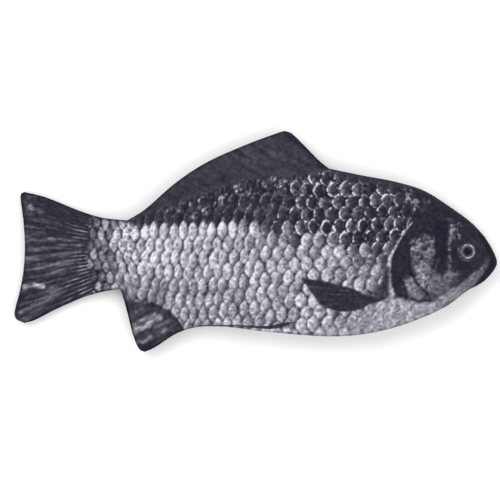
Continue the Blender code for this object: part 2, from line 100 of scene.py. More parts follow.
# ------------------------------------------------- the outline, as in the CAD's source
DORSAL_RUNS = (
    ((-105.4, 22.6), (-96.1, 20.3), (-80.0, 13.9), (-70.0, 10.9), (-58.5, 9.6)),
    ((-58.5, 9.6), (-50.6, 14.4), (-36.9, 26.3), (-23.2, 35.5), (-5.0, 43.8), (10.5, 49.6),
     (13.2, 50.35)),
    ((13.2, 50.35), (16.5, 49.2), (22.3, 43.6), (29.0, 36.8), (33.5, 33.2)),
    ((33.5, 33.2), (49.6, 29.9), (63.3, 27.3), (77.0, 23.0), (90.6, 14.4), (99.0, 8.0),
     (104.5, 2.0)),
)
BELLY_RUNS = (
    ((-105.4, -37.2), (-100.7, -35.9), (-91.6, -31.2), (-77.9, -25.3), (-68.8, -22.8),
     (-60.9, -21.7)),
    ((-60.9, -21.7), (-58.8, -29.0), (-56.9, -37.0), (-55.2, -44.4), (-53.0, -49.0),
     (-50.4, -50.35)),
    ((-50.4, -50.35), (-46.0, -48.4), (-36.0, -42.0), (-27.0, -39.1), (-14.0, -38.8), (4.1, -40.9),
     (31.4, -43.1), (49.6, -42.1), (67.9, -37.6), (86.1, -29.8), (96.3, -22.4), (101.0, -20.1),
     (104.5, -17.8)),
)
TAIL_EDGE = ((-105.4, -37.2), (-109.2, -35.4), (-110.0, -32.4), (-107.6, -22.5), (-105.8, -12.0),
             (-105.3, -1.0), (-106.0, 9.5), (-107.3, 19.6), (-107.0, 21.8), (-105.4, 22.6))
NOSE_EDGE = ((104.5, -17.8), (108.4, -13.4), (110.0, -9.6), (108.2, -4.2), (104.5, 2.0))
DORSAL_ROOT = ((-58.5, 9.6), (-40.8, 17.5), (-11.6, 29.5), (13.2, 34.5), (33.5, 33.2))
ANAL_ROOT = ((-60.9, -21.7), (-47.6, -29.0), (-35.0, -36.0), (-25.0, -38.9))


# ------------------------------------------------------------------ number helpers
def blend_in(edge0, edge1, value):
    """0 before edge0, 1 after edge1, and smooth between them."""
    t = np.clip((value - edge0) / (edge1 - edge0), 0.0, 1.0)
    return t * t * (3.0 - 2.0 * t)


def mix(a, b, share):
    """a where share is 0 and b where it is 1."""
    return a + (b - a) * share


def through(xs, ys, at):
    """Smooth curve through points, held level beyond its ends."""
    xs = np.asarray(xs, float)
    ys = np.asarray(ys, float)
    slopes = np.empty_like(ys)
    slopes[1:-1] = (ys[2:] - ys[:-2]) / (xs[2:] - xs[:-2])
    slopes[0] = (ys[1] - ys[0]) / (xs[1] - xs[0])
    slopes[-1] = (ys[-1] - ys[-2]) / (xs[-1] - xs[-2])
    at = np.clip(at, xs[0], xs[-1])
    k = np.clip(np.searchsorted(xs, at) - 1, 0, len(xs) - 2)
    span = xs[k + 1] - xs[k]
    t = (at - xs[k]) / span
    rise = ys[k] * (2 * t ** 3 - 3 * t ** 2 + 1) + ys[k + 1] * (3 * t ** 2 - 2 * t ** 3)
    bend = slopes[k] * (t ** 3 - 2 * t ** 2 + t) + slopes[k + 1] * (t ** 3 - t ** 2)
    return rise + span * bend


def points_through(points, at):
    """The same smooth curve, through (x, y) points."""
    return through([p[0] for p in points], [p[1] for p in points], at)


def along_path(path, t):
    """Points at the fractions t of the smooth path through the points."""
    marks = [0.0]
    for first, second in zip(path, path[1:]):
        marks.append(marks[-1] + math.dist(first, second))
    at = np.asarray(t) * marks[-1]
    return through(marks, [p[0] for p in path], at), through(marks, [p[1] for p in path], at)


def chance(a, b, seed):
    """Repeatable random value from 0 to 1 for each pair of whole numbers."""
    spin = np.sin(a * 127.1 + b * 311.7 + seed * 74.7) * 43758.5453
    return spin - np.floor(spin)


def cloud(x, y, size, seed):
    """Smooth noise from 0 to 1 with features about one size across."""
    u = x / size
    w = y / size
    i = np.floor(u)
    j = np.floor(w)
    a = blend_in(0.0, 1.0, u - i)
    b = blend_in(0.0, 1.0, w - j)
    low = mix(chance(i, j, seed), chance(i + 1, j, seed), a)
    high = mix(chance(i, j + 1, seed), chance(i + 1, j + 1, seed), a)
    return mix(low, high, b)


def speckle(x, y, size, seed):
    """Two octaves of noise, centred on 0, from about -1 to 1."""
    coarse = cloud(x, y, size, seed)
    fine = cloud(x, y, size / 2.2, seed + 7)
    return coarse * 1.3 + fine * 0.7 - 1.0


# ------------------------------------------------------- the pouch's skins, in mm
def edge_height(runs, x):
    """Height at x of an edge made of runs that meet at corners."""
    x = np.asarray(x, float)
    height = points_through(runs[-1], x)
    for run in reversed(runs[:-1]):
        height = np.where(x <= run[-1][0], points_through(run, x), height)
    return height


def padded_limits(x):
    """Lowest and highest y of the padded body at x, without the flat fins."""
    low = edge_height(BELLY_RUNS, x)
    high = edge_height(DORSAL_RUNS, x)
    on_dorsal = (x > DORSAL_ROOT[0][0]) & (x < DORSAL_ROOT[-1][0])
    on_anal = (x > ANAL_ROOT[0][0]) & (x < ANAL_ROOT[-1][0])
    high = np.where(on_dorsal, np.minimum(high, points_through(DORSAL_ROOT, x)), high)
    low = np.where(on_anal, np.maximum(low, points_through(ANAL_ROOT, x)), low)
    return low, high


def on_arc(angle, radius):
    """Point at an angle in degrees from straight down, towards the head."""
    turn = np.radians(angle)
    return ARC_X + radius * np.sin(turn), ARC_Y - radius * np.cos(turn)


def degrees_round(length):
    """Angle that a length in millimetres takes up along the zip's arc."""
    return math.degrees(length / ARC_RADIUS)


SLIDER_REACH = SLIDER_LENGTH / 2 + STOP_MARGIN
ZIP_START = SLIDER_PARKED - SLIDER_TRAVEL - degrees_round(SLIDER_REACH)
ZIP_END = SLIDER_PARKED + degrees_round(SLIDER_REACH + STOP_LENGTH / 2)


def slot_share(x):
    """1 where the belly slot is fully open, 0 where the panels are sewn shut."""
    angle = np.degrees(np.arcsin(np.clip((x - ARC_X) / BELLY_RADIUS, -1.0, 1.0)))
    shut_behind = ZIP_START - SLOT_REAR_ROOM - SLOT_REAR_RAMP
    opening = blend_in(shut_behind, shut_behind + SLOT_REAR_RAMP, angle)
    closing = blend_in(ZIP_END + SLOT_FRONT_RAMP, ZIP_END, angle)
    return opening * closing


def seam_plane(x):
    """Height of the seam, which droops towards the tail."""
    return SEAM_HEIGHT - TAIL_DROOP * blend_in(DROOP_START, DROOP_START - DROOP_REACH, x)


def bulge(x, y):
    """Share of the full crown: round towards the nose, fading to the tail."""
    nose = through([p[1] for p in NOSE_EDGE], [p[0] for p in NOSE_EDGE], y)
    ahead = np.clip((x - CROWN_STATION) / (nose - CROWN_STATION), 0.0, 1.0)
    behind = blend_in(CROWN_STATION, CROWN_STATION - CROWN_REACH, x)
    front = np.sqrt(np.maximum(1.0 - ahead ** NOSE_ROUNDNESS, 0.0))
    return np.where(x > CROWN_STATION, front, (1.0 - behind) ** TAIL_FULLNESS)


def dome(across):
    """Height share of the padded section, 1 at the middle and 0 at its edges."""
    return np.maximum(1.0 - np.abs(across) ** SECTION_SQUARENESS, 0.0) ** SECTION_FULLNESS


def across_body(x, y, inset_low, inset_high):
    """Place across the padded body: -1 at the belly, 0 midway, 1 at the back."""
    low, high = padded_limits(x)
    middle = (low + high) / 2
    below = (y - middle) / np.maximum(middle - low - inset_low, 1.0)
    above = (y - middle) / np.maximum(high - middle - inset_high, 1.0)
    return np.where(y < middle, below, above)


def skin_height(x, y, is_front, depth, rim, half_width, inset_low, inset_high, ease=0.0):
    """Height of a skin depth under the crown, or inside the flattened back.

    ease lifts the dome's surface locally, and fades out at its edges.
    """
    across = across_body(x, y, inset_low, inset_high)
    share = slot_share(x) * blend_in(0.0, 1.0, -across)
    off_seam = GAP / 2 + (half_width - GAP / 2) * share + rim
    seam = seam_plane(x)
    height = dome(across)
    if is_front:
        base = seam + off_seam
        crown = seam + (THICKNESS - SEAM_HEIGHT - depth) * bulge(x, y)
        return base + np.maximum(crown - base, 0.0) * height + ease
    base = seam - off_seam
    lowest = seam - (SEAM_HEIGHT + PRESSED_DEPTH - depth) * bulge(x, y)
    return np.maximum(base - np.maximum(base - lowest, 0.0) * height - ease, depth)


def inner_skin(x, y, is_front, ease=0.0):
    """Height of a panel's inside."""
    inset = PANEL_THICKNESS
    return skin_height(x, y, is_front, inset, 0.0, SLOT_HALF_WIDTH, inset, inset, ease)


def lining_insets(x):
    """Insets of the lining from the belly edge and from the dorsal side."""
    plain = PANEL_THICKNESS + LINING_CLEARANCE + LINING_INSET
    low = padded_limits(x)[0]
    slope = (padded_limits(x + 1.0)[0] - padded_limits(x - 1.0)[0]) / 2
    square_on = plain * np.hypot(1.0, slope)
    radius = ARC_RADIUS - TAPE_THICKNESS / 2 - 2 * GAP
    tape_back = ARC_Y - np.sqrt(np.maximum(radius ** 2 - (x - ARC_X) ** 2, 1.0))
    behind_tape = tape_back - low
    return square_on + np.maximum(behind_tape - square_on, 0.0) * slot_share(x), plain


# ------------------------------------------------------------------ mesh helpers
def linear(grey):
    """Display value from 0 to 255 as a linear one from 0 to 1."""
    share = np.asarray(grey, float) / 255.0
    return np.where(share <= 0.04045, share / 12.92, ((share + 0.055) / 1.055) ** 2.4)


def add_object(name, points, faces):
    """Mesh object from points in millimetres and faces of point numbers."""
    mesh = bpy.data.meshes.new(name)
    mesh.from_pydata([tuple(p) for p in np.asarray(points) * MM], [], faces)
    shape = bmesh.new()
    shape.from_mesh(mesh)
    bmesh.ops.recalc_face_normals(shape, faces=shape.faces)
    shape.to_mesh(mesh)
    shape.free()
    mesh.polygons.foreach_set("use_smooth", [True] * len(mesh.polygons))
    mesh.update()
    thing = bpy.data.objects.new(name, mesh)
    bpy.context.scene.collection.objects.link(thing)
    return thing


def grid_faces(rows, columns, start=0):
    """Quads of a grid whose points are stored row by row."""
    corner = (np.arange(rows - 1)[:, None] * columns + np.arange(columns - 1)[None, :]).ravel() + start
    return np.stack([corner, corner + 1, corner + columns + 1, corner + columns], 1).tolist()


def border(rows, columns, start=0):
    """Point numbers round a grid's border, in order."""
    number = np.arange(rows * columns).reshape(rows, columns) + start
    return np.concatenate([number[0, :-1], number[:-1, -1], number[-1, :0:-1], number[:0:-1, 0]])


def set_shades(thing, shades):
    """Store the print on the mesh, as one linear grey for each point."""
    layer = thing.data.attributes.new("shade", "FLOAT", "POINT")
    layer.data.foreach_set("value", np.asarray(shades, np.float32))


# ---------------------------------------------------------------------- the print
# Worked out point by point as a display grey from 0 to 255.  Tones, gains and
# shades below are in those greys, and paths, widths and sizes in millimetres.
def veins(x, y, size, seed):
    """Network of thin bright lines, from 0 to 1."""
    return np.clip(1.0 - np.abs(speckle(x, y, size, seed)) * 3.0, 0.0, 1.0)


def away_from(x, y, path):
    """Distance to a polyline, and how far along it the nearest point is."""
    best = np.full(x.shape, 1e9)
    along = np.zeros(x.shape)
    steps = len(path) - 1
    for index in range(steps):
        ax, ay = path[index]
        bx, by = path[index + 1]
        dx = bx - ax
        dy = by - ay
        t = np.clip(((x - ax) * dx + (y - ay) * dy) / (dx * dx + dy * dy), 0.0, 1.0)
        gap = np.hypot(x - ax - t * dx, y - ay - t * dy)
        nearer = gap < best
        best = np.where(nearer, gap, best)
        along = np.where(nearer, (index + t) / steps, along)
    return best, along


def stroke(x, y, path, width, soft=0.4):
    """Mask of a line with a width and soft sides."""
    return 1.0 - blend_in(width / 2 - soft / 2, width / 2 + soft, away_from(x, y, path)[0])


def patch(x, y, corners, soft):
    """Mask of a closed shape, soft by so much at its edge."""
    inside = np.zeros(x.shape, bool)
    count = len(corners)
    for index in range(count):
        ax, ay = corners[index]
        bx, by = corners[(index + 1) % count]
        crosses = (ay > y) != (by > y)
        level = np.where(by == ay, 1e-9, by - ay)
        inside ^= crosses & (x < (bx - ax) * (y - ay) / level + ax)
    gap = away_from(x, y, list(corners) + [corners[0]])[0]
    return blend_in(-soft, soft, np.where(inside, gap, -gap))


# Height of the lateral line, the scales' pitch and the rows' spacing along X.
LATERAL_X = (-75.0, -50.0, -20.0, 10.0, 40.0, 62.0)
LATERAL_Y = (-1.5, -2.0, -1.8, 0.3, 1.0, 2.5)
PITCH_X = (-80.0, -62.0, -45.0, -15.0, 15.0, 40.0, 62.0)
PITCH = (3.6, 4.0, 4.35, 4.5, 5.5, 5.8, 5.2)
ROW_X = (-80.0, -60.0, -40.0, -5.0, 20.0, 62.0)
ROW_GAP = (4.6, 5.4, 6.4, 6.3, 5.7, 5.5)
SCALE_HALF_WIDTH = 0.5      # in pitches
SCALE_HALF_HEIGHT = 0.70    # in row spacings
SCALE_POINT = 1.65          # 1 is a diamond, 2 an oval
COUNT_REACH = 115.0         # either way along X that the scales are counted
COUNT_STEP = 0.5
LOWER_ROWS = 0.96           # spacing below the lateral line, of that above it
SCALE_JITTER = 0.14         # of a scale from its place, in pitches and row spacings

# Foot of the dorsal fin, where it leaves the back.
DORSAL_FOOT_X = (-60.0, -40.8, -29.0, -22.0, -11.6, -1.1, 5.7, 16.0, 25.0, 33.0)
DORSAL_FOOT_Y = (8.0, 15.7, 19.9, 21.9, 25.3, 28.5, 29.2, 29.6, 29.8, 32.6)


def scale_columns():
    """Running count of scales along X, as points for interpolation."""
    xs = np.arange(-COUNT_REACH, COUNT_REACH + COUNT_STEP, COUNT_STEP)
    counts = np.cumsum(COUNT_STEP / through(PITCH_X, PITCH, xs))
    return xs, counts


def scale_map(x, y):
    """For each point: its scale's column, row and height, and its place on that scale."""
    xs, counts = scale_columns()
    wobble = speckle(x, y, 8.0, 3)
    column = np.interp(x + wobble * 0.5, xs, counts)
    gap = through(ROW_X, ROW_GAP, x)
    below = y < through(LATERAL_X, LATERAL_Y, x)
    gap = np.where(below, gap * LOWER_ROWS, gap)
    row = (y + speckle(x, y, 10.0, 4) * 0.45 - through(LATERAL_X, LATERAL_Y, x)) / gap
    nearest = np.full(x.shape, 1e9)
    picked = [np.zeros(x.shape) for _ in range(4)]
    for shift in (-1, 0, 1):
        j = np.round(row) + shift
        offset = np.where(np.mod(j, 2) == 0, 0.0, 0.5) + (chance(j, 0, 5) - 0.5) * 0.12
        base = np.round(column - offset)
        for step in (-1, 0, 1):
            centre = base + step + offset
            across = column - centre - (chance(centre, j, 8) - 0.5) * SCALE_JITTER
            rise = row - j - (chance(centre, j, 9) - 0.5) * SCALE_JITTER
            far = ((np.abs(across) / SCALE_HALF_WIDTH) ** SCALE_POINT
                   + (np.abs(rise) / SCALE_HALF_HEIGHT) ** SCALE_POINT)
            nearer = far < nearest
            nearest = np.where(nearer, far, nearest)
            found = (centre, j, across, rise)
            picked = [np.where(nearer, new, old) for new, old in zip(found, picked)]
    return (*picked, nearest ** (1 / SCALE_POINT), y - picked[3] * gap)


def scales(x, y):
    """The whole body's scales, light on the flank and dark on the back."""
    column, row, across, rise, out, middle = scale_map(x, y)
    luck = chance(column, row, 1)
    other = chance(column, row, 2)
    grit = speckle(x, y, 1.0, 11) * 26 + speckle(x, y, 2.1, 12) * 20
    edge = out + speckle(x, y, 1.7, 17) * 0.11 + speckle(x, y, 0.8, 18) * 0.05
    left = blend_in(0.22, -0.34, across - rise * 0.18 + speckle(x, y, 1.4, 19) * 0.06)
    right = blend_in(-0.08, 0.46, across - rise * 0.12)
    # How light the flank is here, scale by scale: 0 on the back, 1 on the side.
    shore = through((-60, -36, -15, 0, 14, 24, 40, 60), (8.2, 7.4, 6.8, 5.2, 2.8, 0.0, -4.0, -6.0), x)
    width = through((-60, -10, 20, 60), (0.9, 1.8, 5.0, 6.5), x)
    ragged = (luck - 0.5) * through((-60, -10, 20, 60), (1.5, 4.0, 6.5, 6.0), x)
    height = mix(middle, y, 0.35)
    light = blend_in(-width, width, shore - height + ragged)
    # A light scale: lit from the upper left, with a dark ragged gap round it.
    tone = through((-75, -60, -30, 0, 30, 60), (160, 186, 194, 184, 170, 150), x)
    low = through((-60, -20, 20, 60), (148, 160, 176, 164), x)
    tone = mix(tone, low, blend_in(-9.0, -26.0, y)) + (luck - 0.5) * 40 + grit
    tone = tone + 10 - right * 60 - blend_in(-0.05, -0.6, rise) * 20
    tone = tone + np.exp(-((edge - 0.66) / 0.17) ** 2) * left * 30
    tone = tone - np.clip(cloud(x, y, 0.8, 29) * 2.6 - 1.7, 0.0, 1.0) * 56
    gap = 50 + other * 34 + grit * 0.6 + left * 14
    bright = mix(gap, tone, blend_in(1.05, 0.80, edge))
    # A dark scale: a mottled face, a broken light rim and deep shadow under it.
    fleck = through((-60, -12, 6, 20, 40, 60), (0.34, 0.48, 0.70, 1.12, 1.34, 1.34), x)
    fleck = fleck * (1 - 0.55 * blend_in(10.0, 22.0, y - shore) * blend_in(30.0, 5.0, x))
    broken = np.clip(0.40 + luck * 0.7 + speckle(x, y, 1.1, 16) * 1.5, 0.0, 1.9)
    rim = np.exp(-((edge - 0.84) / 0.11) ** 2) * (0.30 + 0.70 * left) * broken
    face = blend_in(0.95, 0.62, edge) * (0.25 + 0.75 * other) * (0.35 + 0.65 * left)
    dark = 37 - blend_in(8.0, 30.0, x) * 12 + grit * 0.6 + speckle(x, y, 4.5, 14) * 9
    dark = dark + fleck * (rim * 162 + face * 74 * (1.0 + grit * 0.014)) - right * 12
    value = mix(dark, bright, light)
    # Dots of the lateral line.
    dot = np.exp(-((across + 0.05) / 0.10) ** 2 - (rise / 0.11) ** 2)
    dot = dot * (row == 0) * blend_in(25.0, 5.0, x)
    value = value - dot * 95 * light
    # Small glittering scales between the flank and the dorsal fin.
    foot = through(DORSAL_FOOT_X, DORSAL_FOOT_Y, x)
    under = np.exp(-((foot - 4.6 - y) / 5.6) ** 2) * blend_in(-52.0, -22.0, x) * blend_in(34.0, 22.0, x)
    glitter = np.clip(cloud(x, y, 1.25, 15) * cloud(x, y, 0.8, 26) * 2.6 - 0.75, 0.0, 1.0)
    glitter = glitter + np.clip(veins(x, y * 1.3, 1.9, 27) - 0.5, 0.0, 1.0) * 0.55
    return value + under * (glitter * 128 * (0.4 + 0.9 * cloud(x, y, 4.0, 20)) - 6)


def root_of_tail(x, y, value):
    """Broken small scales that darken where the tail starts."""
    near = blend_in(-62.5, -68.5, x + speckle(x, y, 4.0, 21) * 3.0)
    column, row, _, _, out, _ = scale_map(x, y)
    tile = blend_in(1.08, 0.55, out + speckle(x, y, 1.2, 24) * 0.22)
    chips = 50 + tile * (34 + 104 * chance(column, row, 28)) + speckle(x, y, 2.8, 22) * 20
    chips = chips + speckle(x, y, 1.1, 25) * 34 + veins(x, y, 2.0, 23) * 12
    dusk = blend_in(-66.0, -78.0, x) * 22 + blend_in(4.5, 8.5, np.abs(y + 5.5)) * 14
    return mix(value, np.clip(chips - dusk, 36, 190), near)


TAIL_FAN = (-38.0, -3.0)    # the point that the tail's rays spread from
TAIL_STREAKS = (            # path, width and gain of the tail's strongest light streaks
    (((-105.5, -20.4), (-101.5, -19.9), (-97.0, -20.6)), 1.6, 140),
    (((-107.0, -32.4), (-101.5, -29.0), (-94.0, -25.6)), 1.2, 50),
    (((-104.5, -25.6), (-98.0, -23.8), (-91.0, -20.6)), 0.9, 40),
    (((-104.5, 16.4), (-101.0, 14.8), (-98.0, 13.8)), 1.5, 44),
    (((-105.0, 13.0), (-101.0, 12.0)), 1.2, 34),
    (((-104.8, 0.4), (-93.0, 0.9), (-82.0, 0.6)), 0.9, 46),
    (((-104.8, 4.6), (-96.0, 4.0)), 0.9, 34),
    (((-105.0, -7.6), (-94.0, -6.8), (-80.0, -4.6)), 1.2, 50),
    (((-105.4, -12.6), (-94.0, -11.2), (-80.0, -8.4)), 1.0, 44),
    (((-105.0, -3.4), (-94.0, -3.0), (-80.0, -1.4)), 0.9, 36),
    (((-105.2, -16.4), (-96.0, -15.6), (-84.0, -12.0)), 0.8, 30),
)


def tail_fin(x, y, value):
    """Dark tail: fine rays at its root, broad bands and light streaks behind."""
    start = through((-40, -17, -8, 2, 11, 20), (-74, -74.5, -77.0, -77.0, -74.5, -72), y)
    inside = blend_in(1.0, -1.0, x - start + speckle(x, y, 1.6, 31) * 2.0)
    out = TAIL_FAN[0] - x
    fan = np.degrees(np.arctan2(y - TAIL_FAN[1] + 0.02 * out, out))
    bend = fan + 0.0009 * out * fan + speckle(x, y, 9.0, 30) * 0.25
    near = 1 - blend_in(40.0, 58.0, out)
    fine = np.sin(bend * 2.75 + 0.9 * np.sin(out * 0.09)) * 0.5 + 0.5
    rays = fine ** 4 * near * np.clip(cloud(x * 0.7, bend, 2.4, 33) * 1.7 - 0.35, 0, 1) * 128
    rays = rays * blend_in(15.0, 6.0, y + (x + 90) * 0.2)
    broad = cloud(out * 0.22, bend * 1.5, 1.5, 34)
    bands = np.clip(broad - 0.50, 0.0, 1.0) * (1 - near) * 122 * blend_in(14.0, 5.0, y)
    grain = speckle(x * 0.4, bend * 1.2, 0.9, 35) * 9 + speckle(x, y, 0.8, 38) * 5
    corner = np.clip(speckle(x * 0.5, y, 1.2, 39), 0, 1) * 72
    corner = corner * blend_in(-92.0, -103.0, x) * blend_in(8.0, 13.0, y)
    streaks = 0.0
    for path, width, gain in TAIL_STREAKS:
        mark = stroke(x, y + speckle(x, y, 3.0, 36) * 0.55, path, width, 0.9)
        streaks = streaks + mark * gain * np.clip(0.25 + 1.1 * cloud(x * 0.6, y, 1.5, 37), 0.0, 1.15)
    fin = 44 + rays + bands + grain * 1.6 + streaks * 1.05 + corner
    return mix(value, fin, inside)


def dorsal_fin(x, y, value):
    """Dark dorsal fin with faint slanting rays and a gleam near its crest."""
    above = y - through(DORSAL_FOOT_X, DORSAL_FOOT_Y, x)
    inside = blend_in(-0.7, 0.7, above + speckle(x, y, 1.4, 41) * 0.9) * (x > -58.5) * (x < 35.0)
    slant = x * 0.5 + y * 0.85
    along = x * 0.85 - y * 0.5
    ray = speckle(along * 0.12, slant, 1.0, 42) * 13
    sweep = np.sin(slant * 1.15 + 0.4 * np.sin(x * 0.13)) * 3.5
    fin = 59 + ray + sweep + blend_in(3.0, 18.0, x) * 3 + speckle(x, y, 3.5, 43) * 5
    fin = fin + speckle(x, y, 0.9, 45) * 5
    gleam = stroke(x, y, ((-12.0, 41.0), (8.0, 38.5), (27.0, 31.5)), 5.0, 4.0)
    soft = np.clip(cloud(along * 0.16, slant, 1.1, 44) - 0.55, 0, 1) * 2.2
    leading = stroke(x, y, ((13.5, 49.5), (24.0, 41.0), (33.0, 32.2)), 1.4, 1.6) * 24
    return mix(value, fin + gleam * soft * 26 - leading, inside)


ANAL_STREAKS = (            # path, width and gain, as for the tail
    (((-56.5, -41.8), (-51.0, -39.0), (-43.5, -34.4)), 1.9, 74),
    (((-55.5, -38.4), (-50.0, -35.0), (-46.0, -33.2)), 1.4, 46),
    (((-50.0, -44.4), (-45.0, -42.4), (-41.0, -40.2)), 1.3, 58),
    (((-54.0, -46.0), (-50.0, -45.4)), 1.1, 50),
    (((-57.5, -34.0), (-52.0, -30.8)), 1.0, 26),
    (((-46.0, -39.4), (-40.5, -36.6)), 0.9, 34),
)


def anal_fin(x, y, value):
    """Streaked anal fin behind the crease where it meets the belly."""
    crease = ((-47.6, -28.0), (-43.5, -29.8), (-39.0, -31.7), (-35.8, -34.9), (-33.0, -39.7),
              (-31.5, -43.0))
    shape = ((-62.0, -27.5), (-56.0, -27.0), *crease, (-31.0, -55.0), (-64.0, -55.0))
    inside = patch(x + speckle(x, y, 1.8, 54) * 0.9, y, shape, 1.0)
    slant = -x * 0.42 + y * 0.91
    along = x * 0.91 + y * 0.42
    fin = 58 + speckle(along * 0.2, slant, 1.0, 51) * 20 + speckle(x, y, 0.9, 55) * 8
    for path, width, gain in ANAL_STREAKS:
        torn = np.clip(0.2 + 1.2 * cloud(along * 0.5, slant, 1.2, 52), 0.0, 1.2)
        fin = fin + stroke(x, y + speckle(x, y, 2.2, 53) * 0.5, path, width, 1.0) * gain * torn * 1.55
    dusk = blend_in(-41.5, -47.5, y + 0.25 * (x + 50)) * 16
    value = mix(value, fin - dusk, inside)
    fold = stroke(x, y, crease, 0.5, 0.5)
    shine = stroke(x, y, [(a + 1.2, b - 0.6) for a, b in crease[1:]], 0.7, 0.7) * 66
    value = value - fold * 64 + shine * (0.5 + 0.5 * blend_in(-33.0, -40.0, y))
    # Two pale scales just ahead of the fin's root.
    for spot_x, spot_y, radius in ((-52.0, -19.3, 1.5), (-54.6, -22.4, 1.2), (-49.0, -22.0, 1.1)):
        value = value + np.exp(-((x - spot_x) ** 2 + (y - spot_y) ** 2) / radius ** 2) * 48
    return value


def pelvic_fin(x, y, value):
    """Pelvic fin, seen edge on along the belly."""
    edge = ((-26.0, -38.4), (-8.0, -38.2), (0.0, -38.9), (6.2, -39.0), (11.0, -38.3), (16.3, -36.8))
    gap, along = away_from(x, y, edge)
    width = through((0.0, 0.35, 0.7, 0.93, 1.0), (0.15, 0.45, 0.85, 0.8, 0.2), along)
    band = blend_in(width + 0.25, width - 0.2, gap)
    under = stroke(x, y, ((5.0, -40.4), (13.0, -40.7), (19.0, -39.8)), 0.8, 0.6)
    value = mix(value, 42 + speckle(x, y, 1.0, 56) * 6, band * 0.94)
    return value + under * 30


PECTORAL = ((20.6, -16.5), (32.6, -18.2), (44.0, -21.4), (49.0, -24.0), (59.9, -25.4), (57.0, -27.0),
            (52.0, -28.2), (46.7, -31.0), (41.2, -32.0), (34.8, -31.1), (29.4, -28.5), (26.5, -24.8),
            (23.0, -19.8))


def pectoral_fin(x, y, value):
    """Dark pectoral fin, with rays that fan out from behind the gill."""
    # The dark hollow where the fin leaves the body.
    hollow = patch(x, y, ((47.0, -22.6), (53.0, -22.4), (58.0, -17.0), (58.6, -11.0), (60.4, -12.0),
                          (60.4, -25.0), (54.0, -26.2)), 1.1)
    value = mix(value, 44 + speckle(x, y, 1.2, 63) * 9, hollow * 0.86)
    inside = patch(x, y, PECTORAL, 0.45)
    fan = np.degrees(np.arctan2(y + 24.5, 66.0 - x)) + speckle(x, y, 6.0, 64) * 0.5
    rays = np.clip(np.sin(fan * 1.45) - 0.70, 0, 1) * 120 * blend_in(50.0, 40.0, x)
    rays = rays * np.clip(cloud(x * 0.3, fan, 1.2, 61) * 1.8 - 0.5, 0.0, 1.0)
    fin = 44 + rays + speckle(x, y, 1.0, 62) * 8 + speckle(x * 0.4, fan, 1.5, 65) * 5
    value = mix(value, fin, inside)
    rim = stroke(x, y, ((40.0, -19.4), (47.0, -22.0), (55.5, -25.6)), 0.45, 0.5)
    return value + rim * 62 * (0.5 + 0.5 * cloud(x, y, 1.4, 66))


GILL = ((71.3, 9.3), (68.1, 4.8), (64.9, 0.2), (62.6, -3.9), (60.8, -7.5), (60.2, -13.9),
        (60.6, -20.3), (62.0, -23.9))


def head_mask(x, y):
    """1 on the head, ahead of the gill opening's curved edge."""
    edge_x = through((-46.0, -36.0, -30.0, -23.9, -13.9, -7.5, -3.9, 0.2, 4.8, 9.3, 14.0, 20.0, 30.0),
                     (92.0, 78.0, 68.0, 62.0, 60.0, 60.6, 62.4, 64.9, 68.1, 71.3, 75.0, 78.0, 80.0), y)
    return blend_in(-0.4, 0.4, x - edge_x)


PLATE = ((70.2, 0.2), (76.0, 2.9), (80.4, 2.2), (81.0, -4.0), (80.2, -11.3), (79.0, -18.0),
         (77.3, -23.2), (74.6, -20.4), (72.2, -16.2), (71.0, -11.3), (69.4, -4.7))
LOBE = ((66.8, -17.2), (71.2, -16.0), (74.6, -20.8), (77.2, -25.4), (74.4, -26.9), (70.2, -25.4),
        (67.4, -22.2))
CHEEK = ((79.4, -15.5), (84.0, -15.0), (88.0, -12.5), (93.5, -14.5), (92.5, -19.0), (85.0, -23.5),
         (80.0, -26.0), (78.0, -22.6))
NAPE = ((63.0, 22.0), (68.0, 26.0), (78.0, 20.5), (80.0, 14.0), (71.0, 13.0))
HEAD_LINES = (              # path, width and gain of the lines on the gill cover
    (((67.0, -18.5), (68.6, -24.3), (72.7, -27.0), (80.0, -26.6)), 0.7, -44),
    (((70.2, -14.5), (73.0, -18.8), (77.6, -23.6)), 0.7, -56),
    (((82.4, -8.0), (80.6, -14.5), (78.0, -21.6)), 0.35, 50),
    (((81.6, -9.0), (79.8, -15.5), (77.4, -21.0)), 0.35, -34),
    (((83.2, -7.4), (82.0, -13.5), (79.4, -20.6)), 0.3, 30),
    (((70.2, -1.0), (69.2, -8.0), (70.6, -15.0)), 0.4, -20),
    (((60.5, -24.0), (66.0, -29.5), (72.0, -34.0)), 0.6, 20),
    (((60.9, -25.6), (65.6, -30.6)), 0.6, -26),
)


